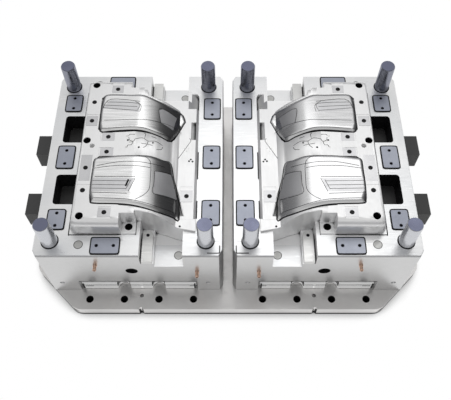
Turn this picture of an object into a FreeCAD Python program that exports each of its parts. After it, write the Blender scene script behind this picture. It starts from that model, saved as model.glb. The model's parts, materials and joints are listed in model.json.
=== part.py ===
import FreeCAD, Part
import math
import os

import Sketcher
from FreeCAD import Placement, Rotation, Vector

# Core half of a twin injection mould: two mirror-image core blocks stand side by side on one
# clamp plate. Millimetres, +Z up, +X to the right, +Y to the back, origin at the bottom centre
# of the clamp plate. The right-hand half is modelled, and the left-hand half is its mirror image.

SIZES = {
    # Clamp plate under both blocks, and the ledges that it shows beyond them
    "side_ledge": 73,
    "end_ledge": 87.5,
    "plate_height": 55,
    "plate_corner": 180,
    "plate_round": 60,
    "clamp_diameter": 31,
    "clamp_pitch": 142.5,
    "clamp_edge": 44,
    "knockout_diameter": 50,
    "notch_diameter": 18,
    "ledge_hole_diameter": 16,
    "ledge_hole_depth": 12,
    "ledge_hole_edge": 59.75,
    # Core block with its ejector housing
    "block_gap": 40,
    "inner_wall": 103,
    "outer_wall": 130,
    "end_wall": 91.5,
    "block_height": 325,
    "block_corner_across": 14,
    "block_corner_along": 25,
    "edge_break": 3,
    "housing_inner_wall": 104,
    "housing_outer_wall": 125,
    "housing_height": 83,
    "eyebolt_diameter": 48,
    "eyebolt_depth": 70,
    "eyebolt_below": 136,
    "handling_diameter": 20,
    "handling_depth": 25,
    "handling_inset": 60,
    "handling_rise": 72,
    # Guide pillars
    "pillar_diameter": 60,
    "pillar_fit_diameter": 68,
    "pillar_head_diameter": 76,
    "pillar_head_height": 15,
    "pillar_reach": 135,
    "pillar_ring_depth": 8,
    "pillar_tip": 5,
    "pillar_inner_inset": 64,
    "pillar_outer_inset": 61,
    "pillar_end_inset": 62,
    "pad_mark_depth": 1,
    "pad_mark_side": 50,
    # Wear plates in the parting face
    "wear_thickness": 20,
    "wear_proud": 3,
    "wear_gap": 2.5,
    "wear_round": 9,
    "wear_width": 68,
    "wear_long": 108,
    "wear_short": 86,
    "wear_long_pitch": 64,
    "wear_short_pitch": 54,
    "wear_outer_inset": 72,
    "wear_inner_inset": 47,
    "wear_end_inset": 42.5,
    "wear_end_from_insert": 119,
    "wear_outer_from_end": 154.5,
    "wear_inner_from_end": 183.5,
    "wear_middle_along": 5,
    "wear_screw_diameter": 8,
    "wear_screw_length": 30,
    # Insert and its shaped top
    "insert_width": 479,
    "insert_draft": 22,
    "insert_depth": 692,
    "insert_seat": 120,
    "insert_round": 36,
    "insert_clearance": 0.1,
    "insert_top_round": 30,
    "land_rise": 85,
    "low_rise": 12,
    "low_slope_width": 10,
    "shoulder_inset": 208,
    "shoulder_radius": 239,
    "front_pad_outer_inset": 175,
    "front_pad_width": 55,
    "front_pad_length": 46,
    "front_pad_rise": 5,
    "lift_diameter": 30,
    "lift_depth": 60,
    "lift_depth_step": 4,
    "lift_end_inset": 33.5,
    "lift_middle_inset": 20,
    "lift_middle_along": 29,
    "lift_pad_inset": 29,
    "outer_row_inset": 29,
    "dowel_diameter": 20,
    "dowel_inset": 43,
    "dowel_along": 3,
    "contact_depth": 1,
    "insert_screw_diameter": 12,
    "insert_screw_length": 78,
    "insert_screw_grip": 48,
    "heel_drop": 42,
    "heel_width": 45,
    "heel_reach": 90,
    "relief_inset": 10,
    "relief_width": 20,
    "relief_drop": 21,
    "relief_gap": 15,
    "relief_length": 90,
    "trim_groove": 3,
    # Panel cores let into the insert
    "core_rise": 6,
    "core_seat": 30,
    "core_edge_inset": 61,
    "core_outline_gap": 3,
    "core_outline_depth": 6,
    "upper_front": 68,
    "lower_back": 50,
    "lower_depth": 201,
    "ridge_depth": 2.5,
    "ridge_width": 3,
    "ridge_line_depth": 3.5,
    "field_depth": 5,
    "slot_depth": 10,
    "core_screw_length": 97,
    # Channels at the front and back of each block
    "gib_channel_outer_inset": 211,
    "gib_channel_width": 49,
    "gib_channel_depth": 69,
    "deep_channel_width": 114,
    "deep_channel_depth": 95,
    "channel_reach": 57,
    "gib_width": 40,
    "gib_height": 20,
    "gib_length": 132,
    "gib_round": 18,
    "gib_screw_inset": 20,
    # Side slides in their windows, and the cylinders that drive them
    "window_along": 147,
    "window_length": 137,
    "window_wall": 47,
    "window_depth": 215,
    "window_round": 14,
    "slide_length": 58,
    "slide_height": 125,
    "slide_clearance": 0.3,
    "slide_stroke": 23,
    "rod_diameter": 36,
    "rod_height": 164,
    "piston_diameter": 64,
    "piston_thickness": 18,
    "piston_end_room": 1,
    "finger_diameter": 24,
    "finger_height": 221,
    "finger_length": 24,
    "finger_bore_diameter": 25,
    "finger_bore_depth": 45,
    "cylinder_length": 95,
    "cylinder_width": 98,
    "cylinder_height": 90,
    "cylinder_screw_diameter": 8,
    "cylinder_screw_length": 105,
    "cylinder_screw_inset": 10,
    "running_clearance": 0.05,
    "screw_clearance": 0.5,
    # Ejector set in each housing
    "ejector_end_gap": 9,
    "ejector_face_gap": 4,
    "ejector_plate_height": 25,
    "ejector_notch_radius": 27,
    "ejector_slot_width": 32,
    "ejector_slot_height": 6,
    "ejector_slot_depth": 15,
    "ejector_handling_diameter": 12,
    "ejector_handling_depth": 20,
    "button_diameter": 40,
    "button_height": 4,
    "button_inset": 70,
    "button_along": 300,
    "support_diameter": 50,
    "support_clearance": 3,
    "support_inset": 110,
    "support_along": 190,
    "return_diameter": 35,
    "return_head_diameter": 45,
    "return_head_height": 8,
    "return_outer_inset": 45,
    "return_inner_inset": 68,
    "return_end_inset": 47.5,
    "plunger_diameter": 10,
    "puller_diameter": 16,
    "probe_diameter": 6,
    "pin_head_extra": 6,
    "pin_head_height": 6,
    "pin_head_clearance": 0.2,
    "ejector_screw_diameter": 10,
    "ejector_screw_length": 30,
    "ejector_screw_inset": 32,
    "ejector_screw_along": 350,
    # Screws that hold the blocks down, and the coolant nipples
    "base_screw_diameter": 24,
    "base_screw_length": 69,
    "base_screw_pitch": 167,
    "nipple_diameter": 16,
    "nipple_reach": 24,
    "nipple_thread_diameter": 13,
    "nipple_thread_length": 15,
    "nipple_bore_diameter": 9,
    "nipple_collar": 7,
    "nipple_neck_step": 1.5,
    "nipple_barb_step": 1,
    "nipple_barb_start": 16,
    "nipple_barb_crest": 19,
    "nipple_tip_step": 2,
    "port_diameter": 12,
    "port_depth": 60,
    "high_port_inset": 71,
    "high_port_below": 81,
    "low_port_inset": 101,
    "low_port_below": 143,
}

# A cutting body reaches this far past the face that it leaves, and a loose fit shows this gap
OVER = 5
# Proportions of a socket head screw, as shares of its thread diameter
HEAD_WIDTH = 1.5
SOCKET_WIDTH = 0.8
SOCKET_DEPTH = 0.6
# A counterbore is wider and deeper than its screw head by these lengths
BORE_EXTRA = 1.5
HEAD_SUNK = 1


class Size:
    """A length that keeps its value and the sheet formula that gives it."""

    def __init__(self, value, text):
        self.value = float(value)
        self.text = text

    def __float__(self):
        return self.value

    def __add__(self, other):
        other = as_size(other)
        return Size(self.value + other.value, "(%s + %s)" % (self.text, other.text))

    def __sub__(self, other):
        other = as_size(other)
        return Size(self.value - other.value, "(%s - %s)" % (self.text, other.text))

    def __mul__(self, other):
        other = as_size(other)
        return Size(self.value * other.value, "(%s * %s)" % (self.text, other.text))

    def __truediv__(self, other):
        other = as_size(other)
        return Size(self.value / other.value, "(%s / %s)" % (self.text, other.text))

    def __neg__(self):
        return as_size(0) - self

    def __radd__(self, other):
        return as_size(other) + self

    def __rsub__(self, other):
        return as_size(other) - self

    def __rmul__(self, other):
        return as_size(other) * self


def as_size(number):
    """Take a plain number as a length with no name of its own."""
    if isinstance(number, Size):
        return number
    return Size(number, repr(float(number)))


class Named:
    """The driving dimensions by name."""


doc = FreeCAD.newDocument("twin_core_half")
sheet = doc.addObject("Spreadsheet::Sheet", "sizes")
size = Named()
for row, (alias, number) in enumerate(SIZES.items(), start=1):
    sheet.set("A%d" % row, alias.replace("_", " "))
    sheet.set("B%d" % row, str(number))
    sheet.setAlias("B%d" % row, alias)
    setattr(size, alias, Size(number, "sizes." + alias))
doc.recompute()

# Heights and places that several pieces share
parting = size.plate_height + size.block_height
block_inner = size.block_gap / 2
insert_inner = block_inner + size.inner_wall
insert_outer = insert_inner + size.insert_width
land_outer = insert_outer - size.insert_draft
block_outer = insert_outer + size.outer_wall
block_depth = size.insert_depth + size.end_wall * 2
block_front = -block_depth / 2
block_back = block_depth / 2
plate_width = (block_outer + size.side_ledge) * 2
plate_depth = block_depth + size.end_ledge * 2
housing_inner = block_inner + size.housing_inner_wall
housing_outer = block_outer - size.housing_outer_wall
housing_roof = size.plate_height + size.housing_height
insert_floor = parting - size.insert_seat
land = parting + size.land_rise
low_land = parting + size.low_rise
seat_of_cores = parting - size.core_seat
deep_floor = parting - size.deep_channel_depth
gib_floor = parting - size.gib_channel_depth
gib_channel_outer = insert_inner + size.gib_channel_outer_inset
gib_channel_inner = gib_channel_outer - size.gib_channel_width
deep_channel_inner = gib_channel_inner - size.deep_channel_width
channel_end = size.insert_depth / 2 - size.channel_reach
front_pad_outer = land_outer - size.front_pad_outer_inset
front_pad_inner = front_pad_outer - size.front_pad_width
front_pad_along = size.insert_depth / 2 - size.front_pad_length
shoulder_start = land_outer - size.shoulder_inset
window_outer = block_outer - size.window_wall
window_floor = parting - size.window_depth
rod_level = size.plate_height + size.rod_height
finger_level = size.plate_height + size.finger_height
ejector_low = size.plate_height + size.button_height
ejector_split = ejector_low + size.ejector_plate_height
ejector_top = ejector_split + size.ejector_plate_height
ejector_inner = housing_inner + size.ejector_end_gap
ejector_outer = housing_outer - size.ejector_end_gap
wear_floor = parting + size.wear_proud - size.wear_thickness
clamp_along = plate_depth / 2 - size.clamp_edge
pillar_inner = block_inner + size.pillar_inner_inset
pillar_outer = block_outer - size.pillar_outer_inset
pillar_along = block_back - size.pillar_end_inset
wear_outer = block_outer - size.wear_outer_inset
wear_inner = block_inner + size.wear_inner_inset
wear_end = (land_outer - size.wear_end_from_insert, block_back - size.wear_end_inset)
wear_outer_along = block_back - size.wear_outer_from_end
wear_inner_along = block_back - size.wear_inner_from_end
return_outer = housing_outer - size.return_outer_inset
return_inner = housing_inner + size.return_inner_inset
return_along = block_back - size.return_end_inset
pattern_middle = size.clamp_pitch * 2.5
ENDS = (-1, 1)


def bind(item, **formulas):
    """Tie properties of an object to lengths of the sheet."""
    for name, length in formulas.items():
        item.setExpression(name, as_size(length).text)
    return item


def place(item, across=0, along=0, up=0):
    """Tie an object's place to lengths of the sheet."""
    for axis, length in (("x", across), ("y", along), ("z", up)):
        item.setExpression(".Placement.Base." + axis, as_size(length).text)
    return item


def box(name, across, along, up, length, width, height):
    """Block with its low corner at a place."""
    item = doc.addObject("Part::Box", name)
    bind(item, Length=length, Width=width, Height=height)
    return place(item, across, along, up)


TURNS = {
    "up": Rotation(),
    "across": Rotation(Vector(0, 1, 0), 90),
    "along": Rotation(Vector(1, 0, 0), -90),
}


def rod(name, across, along, up, diameter, length, way="up"):
    """Cylinder that starts at a place and runs along one axis."""
    item = doc.addObject("Part::Cylinder", name)
    item.Placement = Placement(Vector(), TURNS[way])
    bind(item, Radius=as_size(diameter) / 2, Height=length)
    return place(item, across, along, up)


def outline(body, role, points):
    """Closed sketch through points on a plane of the body, with every corner tied to the sheet."""
    sketch = body.newObject("Sketcher::SketchObject", body.Name + "_outline")
    plane = [item for item in body.Origin.OriginFeatures if item.Role == role][0]
    sketch.AttachmentSupport = (plane, [""])
    sketch.MapMode = "FlatFace"
    corners = [(as_size(first), as_size(second)) for first, second in points]
    spots = [Vector(float(first), float(second), 0) for first, second in corners]
    count = len(spots)
    for index in range(count):
        sketch.addGeometry(Part.LineSegment(spots[index], spots[(index + 1) % count]))
    for index in range(count):
        sketch.addConstraint(Sketcher.Constraint("Coincident", index, 2, (index + 1) % count, 1))
    for index, (first, second) in enumerate(corners):
        for kind, length in (("DistanceX", first), ("DistanceY", second)):
            row = sketch.addConstraint(Sketcher.Constraint(kind, index, 1, float(length)))
            sketch.setExpression("Constraints[%d]" % row, length.text)
    return sketch


def upright_edges(shape, spots):
    """Names of the vertical edges of a shape that stand on given corners."""
    names = []
    for index, edge in enumerate(shape.Edges, start=1):
        first, last = edge.Vertexes[0].Point, edge.Vertexes[-1].Point
        upright = abs(first.x - last.x) + abs(first.y - last.y) < 1e-4
        near = any(abs(first.x - float(x)) + abs(first.y - float(y)) < 1e-3 for x, y in spots)
        if upright and near:
            names.append("Edge%d" % index)
    return names


def prism(name, points, low, height, rounds=()):
    """Upright body on a plan outline; rounds lists corners with the radius that they get."""
    body = doc.addObject("PartDesign::Body", name)
    sketch = outline(body, "XY_Plane", points)
    pad = body.newObject("PartDesign::Pad", name + "_pad")
    pad.Profile = sketch
    bind(pad, Length=height)
    place(body, up=low)
    doc.recompute()
    solid = pad
    for spots, radius in rounds:
        fillet = body.newObject("PartDesign::Fillet", name + "_fillet")
        fillet.Base = (solid, upright_edges(solid.Shape, spots))
        bind(fillet, Radius=radius)
        doc.recompute()
        solid = fillet
    return body


def dress_top(body, kind, height, **formulas):
    """Chamfer or fillet all round the top face of an upright body."""
    solid = body.Tip
    top = ["Face%d" % index for index, face in enumerate(solid.Shape.Faces, start=1)
           if abs(face.CenterOfMass.z - float(height)) < 1e-3]
    dressing = body.newObject("PartDesign::" + kind, body.Name + "_top")
    dressing.Base = (solid, top)
    bind(dressing, **formulas)
    doc.recompute()


def plate(name, across, along, low, length, width, height, radius):
    """Rounded rectangular body about a centre."""
    across, along, length, width = [as_size(item) for item in (across, along, length, width)]
    left, right = across - length / 2, across + length / 2
    front, back = along - width / 2, along + width / 2
    corners = [(left, front), (right, front), (right, back), (left, back)]
    return prism(name, corners, low, height, [(corners, radius)])


def turned(name, points):
    """Turned body: a radius and height outline spun about the vertical axis."""
    body = doc.addObject("PartDesign::Body", name)
    sketch = outline(body, "XZ_Plane", points)
    spin = body.newObject("PartDesign::Revolution", name + "_spin")
    spin.Profile = sketch
    spin.ReferenceAxis = (sketch, ["V_Axis"])
    spin.Angle = 360
    return body


def fuse(name, *pieces):
    item = doc.addObject("Part::MultiFuse", name)
    item.Shapes = list(pieces)
    return item


def cut(name, base, *tools):
    item = doc.addObject("Part::Cut", name)
    item.Base = base
    item.Tool = tools[0] if len(tools) == 1 else fuse(name + "_tools", *tools)
    return item


def mirrored(item, name):
    """Mirror image of a right-hand piece about the plane between the two blocks."""
    copy = doc.addObject("Part::Mirroring", name)
    copy.Source = item
    copy.Normal = Vector(1, 0, 0)
    return copy


def screw(diameter, length):
    """Socket head screw with the top of its head at the origin and its shank downwards."""
    diameter, length = float(diameter), float(length)
    head = Part.makeCylinder(diameter * HEAD_WIDTH / 2, diameter, Vector(0, 0, -diameter))
    shank = Part.makeCylinder(diameter / 2, length, Vector(0, 0, -diameter - length))
    width = diameter * SOCKET_WIDTH / math.sqrt(3)
    turns = [math.radians(60 * step) for step in range(7)]
    ring = Part.makePolygon([Vector(width * math.cos(t), width * math.sin(t), 0) for t in turns])
    socket = Part.Face(ring).extrude(Vector(0, 0, -diameter * SOCKET_DEPTH))
    return head.fuse(shank).removeSplitter().cut(socket)


def group(name, shape, spots, turn=Rotation()):
    """Like pieces as separate solids: one shape at every place of a list."""
    item = doc.addObject("Part::Feature", name)
    copies = []
    for across, along, up in spots:
        copy = shape.copy()
        copy.Placement = Placement(Vector(float(across), float(along), float(up)), turn)
        copies.append(copy)
    item.Shape = Part.makeCompound(copies)
    return item


def both_sides(spots):
    """The same places on the right-hand and the left-hand half."""
    return [(float(x) * side, y, z) for side in (1, -1) for x, y, z in spots]


DOWN = Rotation(Vector(1, 0, 0), 180)


def inwards(spots):
    """Plan places given inwards from the land's outer edge and backwards from the middle."""
    return [(land_outer - x, as_size(y)) for x, y in spots]


def ejector_pin_spots():
    """Plan place, diameter and top level of every ejector pin of one half."""
    return [(land_outer - x, as_size(y), PIN_DIAMETERS[kind], top)
            for top, pins in ((land, LAND_PINS), (low_land, LOW_PINS)) for x, y, kind in pins]


# Places of like pieces on the right-hand half
PILLARS = {
    "outer_front": (pillar_outer, -pillar_along),
    "inner_front": (pillar_inner, -pillar_along),
    "outer_back": (pillar_outer, pillar_along),
    "inner_back": (pillar_inner, pillar_along),
}
# Each wear plate: its centre, its long side and its screw pitch, and the axis that it lies along
WEAR_PLATES = {
    "outer_front": (wear_outer, -wear_outer_along, "short", "along"),
    "outer_middle": (wear_outer, size.wear_middle_along, "long", "along"),
    "outer_back": (wear_outer, wear_outer_along, "short", "along"),
    "inner_front": (wear_inner, -wear_inner_along, "long", "along"),
    "inner_middle": (wear_inner, size.wear_middle_along, "long", "along"),
    "inner_back": (wear_inner, wear_inner_along, "long", "along"),
    "front": (wear_end[0], -wear_end[1], "long", "across"),
    "back": (wear_end[0], wear_end[1], "long", "across"),
}
WEAR_LENGTHS = {
    "long": (size.wear_long, size.wear_long_pitch),
    "short": (size.wear_short, size.wear_short_pitch),
}
# Deep counterbored screws that hold the insert down, inwards from its outer edge and backwards
INSERT_SCREWS = [
    (29, 222),
    (29, 126),
    (29, -101),
    (29, -202),
    (120, 291),
    (120, -298),
    (103, 46),
    (103, -26),
    (418, -186),
]
outer_row = land_outer - size.outer_row_inset
lift_end = size.insert_depth / 2 - size.lift_end_inset
pad_middle = (front_pad_inner + front_pad_outer) / 2
LAND_LIFTS = [
    (outer_row, lift_end),
    (land_outer - size.lift_middle_inset, size.lift_middle_along),
    (outer_row, -lift_end),
]
PAD_LIFT = (pad_middle, size.lift_pad_inset - size.insert_depth / 2)
DOWEL_HOLE = (land_outer - size.dowel_inset, size.dowel_along)
# Shallow contact faces on the insert: two corners on plan, inwards and backwards
LAND_FACES = [
    ((57, 84), (6, 158)),
    ((57, -241), (6, -177)),
    ((120, 27), (72, 67)),
    ((120, -48), (72, -5)),
    ((144, -326), (96, -273)),
    ((144, 273), (96, 326)),
]
LOW_FACES = [((440, -216), (392, -143))]
# Pins under the land and under the low land, with the name of each one's diameter
LAND_PINS = [(178, 50, "plunger"), (178, -4, "plunger"), (194, 23, "puller")]
LOW_PINS = [(402, 41, "probe"), (420, 41, "probe"), (411, 27, "probe")]
PIN_DIAMETERS = {
    "plunger": size.plunger_diameter,
    "puller": size.puller_diameter,
    "probe": size.probe_diameter,
}
RETURN_PINS = [
    (return_outer, -return_along, parting),
    (return_outer, return_along, parting),
    (return_inner, -return_along, deep_floor),
    (return_inner, return_along, deep_floor),
]
BASE_SCREWS = [
    (across, size.base_screw_pitch * step)
    for across in (pillar_inner, pillar_outer)
    for step in (-1.5, -0.5, 0.5, 1.5)
]
SUPPORTS = [
    (across, size.support_along * end)
    for across in (housing_inner + size.support_inset, housing_outer - size.support_inset)
    for end in ENDS
]
BUTTONS = [
    (across, size.button_along * step)
    for across in (housing_inner + size.button_inset, housing_outer - size.button_inset)
    for step in (-1, 0, 1)
]
EJECTOR_SCREWS = [
    (across, size.ejector_screw_along * step)
    for across in (ejector_inner + size.ejector_screw_inset, ejector_outer - size.ejector_screw_inset)
    for step in (-0.5, 0.5)
]
CORE_SCREWS = {
    "upper": [(110, 110), (110, 210), (280, 110), (280, 190)],
    "lower": [(110, -100), (110, -210), (280, -100), (280, -215)],
}
CYLINDER_SCREW_ENDS = [(side, level) for side in ENDS for level in ENDS]


def wear_screw_spots(name):
    """Plan places of the two screws of one wear plate."""
    across, along, kind, way = WEAR_PLATES[name]
    half = WEAR_LENGTHS[kind][1] / 2
    if way == "along":
        return [(across, along + half * end) for end in ENDS]
    return [(across + half * end, along) for end in ENDS]


def counterbored(name, across, along, top, diameter, through, sunk=HEAD_SUNK):
    """Clearance hole and counterbore from above for a socket head screw, as one cutter."""
    hole = rod(name + "_hole", across, along, top - through - OVER, diameter, through + OVER * 2)
    wide = diameter * HEAD_WIDTH + BORE_EXTRA
    room = rod(name + "_room", across, along, top - diameter - sunk, wide, diameter + sunk + OVER)
    return fuse(name, hole, room)


def clamp_plate():
    """Common plate with clamp holes along its front and back ledges."""
    across, along = plate_width / 2, plate_depth / 2
    corner = size.plate_corner
    corners = [
        (-across + corner, -along),
        (across - corner, -along),
        (across, -along + corner),
        (across, along - corner),
        (across - corner, along),
        (-across + corner, along),
        (-across, along - corner),
        (-across, -along + corner),
    ]
    blank = prism("clamp_plate_blank", corners, 0, size.plate_height, [(corners, size.plate_round)])
    through = size.plate_height + OVER * 2
    tools = []
    for side in ENDS:
        for end in ENDS:
            for step in (1, 2, 3, 4):
                name = "clamp_hole_%d" % len(tools)
                x, y = size.clamp_pitch * step * side, clamp_along * end
                tools.append(rod(name, x, y, -OVER, size.clamp_diameter, through))
        x = pattern_middle * side
        tools.append(rod("knockout_%d" % side, x, 0, -OVER, size.knockout_diameter, through))
        tools.append(rod("edge_notch_%d" % side, x, -along, -OVER, size.notch_diameter, through))
        y = size.ledge_hole_edge - along
        up = size.plate_height - size.ledge_hole_depth
        depth = size.ledge_hole_depth + OVER
        tools.append(rod("ledge_hole_%d" % side, x, y, up, size.ledge_hole_diameter, depth))
        for index, (x, y) in enumerate(BASE_SCREWS):
            name = "base_screw_%d_%d" % (side, index)
            hole = rod(name, x * side, y, -OVER, size.base_screw_diameter + BORE_EXTRA, through)
            wide = size.base_screw_diameter * HEAD_WIDTH + BORE_EXTRA
            deep = size.base_screw_diameter + HEAD_SUNK + OVER
            tools += [hole, rod(name + "_room", x * side, y, -OVER, wide, deep)]
    return cut("base_clamp_plate", blank, *tools)


def channels(end):
    """Cutters for the two open channels at one end of a block."""
    reach = block_depth / 2 - channel_end + OVER
    start = channel_end if end > 0 else block_front - OVER
    gib = box("gib_channel_%d" % end, gib_channel_inner, start, gib_floor,
              size.gib_channel_width, reach, size.gib_channel_depth + size.land_rise + OVER)
    deep = box("deep_channel_%d" % end, deep_channel_inner, start, deep_floor,
               size.deep_channel_width, reach, size.deep_channel_depth + size.land_rise + OVER)
    return [gib, deep]


def window(name, end):
    """Upright window for a side slide, open towards the insert and rounded at its outer corners."""
    front = size.window_along * end - size.window_length / 2
    back = front + size.window_length
    outer = [(window_outer, front), (window_outer, back)]
    corners = [(insert_outer, front), outer[0], outer[1], (insert_outer, back)]
    return prism(name, corners, window_floor, size.window_depth + OVER, [(outer, size.window_round)])


def return_bores():
    """Running bores for the return pins, from the housing to the parting face."""
    slack = size.running_clearance * 2
    rise = parting - housing_roof + OVER * 2
    return [rod("return_bore_%d" % index, x, y, housing_roof - OVER,
                size.return_diameter + slack, rise)
            for index, (x, y, top) in enumerate(RETURN_PINS)]


def pin_bores():
    """Running bores for the ejector pins, from the housing to the top of the insert."""
    slack = size.running_clearance * 2
    rise = land - housing_roof + OVER * 2
    return [rod("pin_bore_%d" % index, x, y, housing_roof - OVER, thick + slack, rise)
            for index, (x, y, thick, top) in enumerate(ejector_pin_spots())]


def gib_threads():
    """Threaded holes for the screws of the channel gibs."""
    x, y = gib_screw_spot()
    low = gib_floor + size.gib_height - size.wear_screw_diameter - size.wear_screw_length - OVER
    return [rod("gib_thread_%d" % end, x, -y * end, low, size.wear_screw_diameter,
                gib_floor - low + OVER) for end in ENDS]


def core_block(shared_tools):
    """One-piece core block: parting face, ejector housing, windows, channels and bores."""
    x0, x1, y0, y1 = block_inner, block_outer, block_front, block_back
    a, b = size.block_corner_across, size.block_corner_along
    corners = [(x0 + a, y0), (x1 - a, y0), (x1, y0 + b), (x1, y1 - b),
               (x1 - a, y1), (x0 + a, y1), (x0, y1 - b), (x0, y0 + b)]
    blank = prism("block_blank", corners, size.plate_height, size.block_height)
    dress_top(blank, "Chamfer", size.block_height, Size=size.edge_break)

    seat = plate("insert_pocket", insert_inner + size.insert_width / 2, 0, insert_floor,
                 size.insert_width, size.insert_depth, size.insert_seat + OVER, size.insert_round)
    housing = box("housing", housing_inner, block_front - OVER, size.plate_height - OVER,
                  housing_outer - housing_inner, block_depth + OVER * 2,
                  size.housing_height + OVER)
    tools = [seat, housing] + shared_tools + return_bores()
    tools += [window("window_front", -1), window("window_back", 1)]

    for name, (x, y) in PILLARS.items():
        shank = rod("pillar_bore_" + name, x, y, size.plate_height - OVER,
                    size.pillar_fit_diameter, size.block_height + OVER * 2)
        head = rod("pillar_head_bore_" + name, x, y, size.plate_height - OVER,
                   size.pillar_head_diameter, size.pillar_head_height + OVER)
        tools += [shank, head]
    mark = box("pad_mark", pillar_inner - size.pad_mark_side, -pillar_along - size.pad_mark_side,
               parting - size.pad_mark_depth, size.pad_mark_side, size.pad_mark_side,
               size.pad_mark_depth + OVER)
    tools.append(mark)

    for name, (x, y, kind, way) in WEAR_PLATES.items():
        length, width = WEAR_LENGTHS[kind][0], size.wear_width
        if way == "along":
            length, width = width, length
        gap = size.wear_gap * 2
        tools.append(plate("wear_pocket_" + name, x, y, wear_floor, length + gap, width + gap,
                           size.wear_thickness + OVER, size.wear_round + size.wear_gap))
        for index, (sx, sy) in enumerate(wear_screw_spots(name)):
            deep = size.wear_screw_length + size.wear_screw_diameter + HEAD_SUNK
            low = parting + size.wear_proud - deep
            tools.append(rod("wear_thread_%s_%d" % (name, index), sx, sy, low,
                             size.wear_screw_diameter, deep))

    for index, (x, y) in enumerate(BASE_SCREWS):
        deep = size.base_screw_length + size.base_screw_diameter - size.plate_height + OVER
        tools.append(rod("base_thread_%d" % index, x, y, size.plate_height - OVER,
                         size.base_screw_diameter, deep + OVER))
    for index, (x, y) in enumerate(inwards(INSERT_SCREWS)):
        deep = size.insert_screw_length - size.insert_screw_grip + OVER
        tools.append(rod("insert_thread_%d" % index, x, y, insert_floor - deep,
                         size.insert_screw_diameter, deep + OVER))

    for end in ENDS:
        face = block_depth / 2 * end
        start = face - size.eyebolt_depth if end > 0 else face - OVER
        tools.append(rod("eyebolt_%d" % end, (block_inner + block_outer) / 2, start,
                         parting - size.eyebolt_below,
                         size.eyebolt_diameter, size.eyebolt_depth + OVER, "along"))
        start = face - size.handling_depth if end > 0 else face - OVER
        for side, x in (("inner", block_inner + size.handling_inset),
                        ("outer", block_outer - size.handling_inset)):
            tools.append(rod("handling_%s_%d" % (side, end), x, start,
                             size.plate_height + size.handling_rise, size.handling_diameter,
                             size.handling_depth + OVER, "along"))
        tools.append(rod("rod_bore_%d" % end, window_outer - OVER, size.window_along * end,
                         rod_level, size.rod_diameter + size.running_clearance * 2,
                         block_outer - window_outer + OVER * 2, "across"))
        for index, (side, level) in enumerate(CYLINDER_SCREW_ENDS):
            x, y, z = cylinder_screw_spot(end, side, level)
            deep = size.cylinder_screw_length + size.cylinder_screw_diameter + HEAD_SUNK + OVER
            tools.append(rod("cylinder_thread_%d_%d" % (end, index), x - deep, y, z,
                             size.cylinder_screw_diameter, deep, "across"))
    for name, (x, z) in nipple_spots().items():
        tools.append(rod("port_thread_" + name, x, block_front - OVER, z,
                         size.nipple_thread_diameter, size.nipple_thread_length + OVER, "along"))
        tools.append(rod("port_" + name, x, block_front, z, size.port_diameter, size.port_depth,
                         "along"))
    return cut("core_block_right", blank, *tools)


def nipple_spots():
    """Places of the two coolant nipples on a block's front face."""
    return {
        "high": (land_outer - size.high_port_inset, parting - size.high_port_below),
        "low": (block_inner + size.low_port_inset, parting - size.low_port_below),
    }


def cylinder_screw_spot(end, side, level):
    """Outer end of a screw of the side cylinder at one end of the block."""
    y = size.window_along * end + (size.cylinder_width / 2 - size.cylinder_screw_inset) * side
    z = rod_level + (size.cylinder_height / 2 - size.cylinder_screw_inset) * level
    return block_outer + size.cylinder_length, y, z


def shaped_space(name, offset):
    """All that lies above the shaped top of the insert, raised or lowered by an offset."""
    item = doc.addObject("Part::Feature", name)
    offset = float(offset)
    ceiling = float(land + size.core_rise) + OVER * 4
    start, radius = float(shoulder_start), float(size.shoulder_radius)
    drop = float(size.land_rise - size.low_rise)
    run = math.sqrt(radius ** 2 - (radius - drop) ** 2)
    half_run = math.sin(math.asin(run / radius) / 2)
    half_rise = math.cos(math.asin(run / radius) / 2)
    high, low = float(land) + offset, float(low_land) + offset
    centre = float(land) - radius
    inner, outer = float(insert_inner) - OVER * 2, float(insert_outer) + OVER * 2
    foot = float(insert_inner + size.low_slope_width)

    def spot(across, up):
        return Vector(across, -float(size.insert_depth), up)

    swell = radius + offset
    arc_start = spot(start, high)
    arc_middle = spot(start - swell * half_run, centre + swell * half_rise)
    arc_end = spot(start - math.sqrt(swell ** 2 - (swell - drop) ** 2), low)
    flat = float(parting) + offset
    path = [arc_end, spot(foot, low), spot(float(insert_inner), flat), spot(inner, flat),
            spot(inner, ceiling), spot(outer, ceiling), spot(outer, high), arc_start]
    edges = [Part.Arc(arc_start, arc_middle, arc_end).toShape()]
    edges += [Part.LineSegment(a, b).toShape() for a, b in zip(path, path[1:])]
    face = Part.Face(Part.Wire(Part.__sortEdges__(edges)))
    item.Shape = face.extrude(Vector(0, float(size.insert_depth) * 2, 0))
    return item


def plan_solid(points, low, high):
    """Plain upright solid on a plan outline."""
    spots = [Vector(float(x), float(y), float(low)) for x, y in points]
    face = Part.Face(Part.makePolygon(spots + spots[:1]))
    return face.extrude(Vector(0, 0, float(high) - float(low)))


def strip(path, width):
    """Plan outline of a narrow groove that follows a path from side to side."""
    half = float(width) / 2
    front = [(float(x), float(y) - half) for x, y in path]
    back = [(float(x), float(y) + half) for x, y in reversed(path)]
    return front + back


def from_core_edge(front, points):
    """Plan points given inwards from the panel cores' outer edge and backwards from a line."""
    edge = land_outer - size.core_edge_inset
    return [(float(edge) - x, float(front) + y) for x, y in points]


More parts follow.
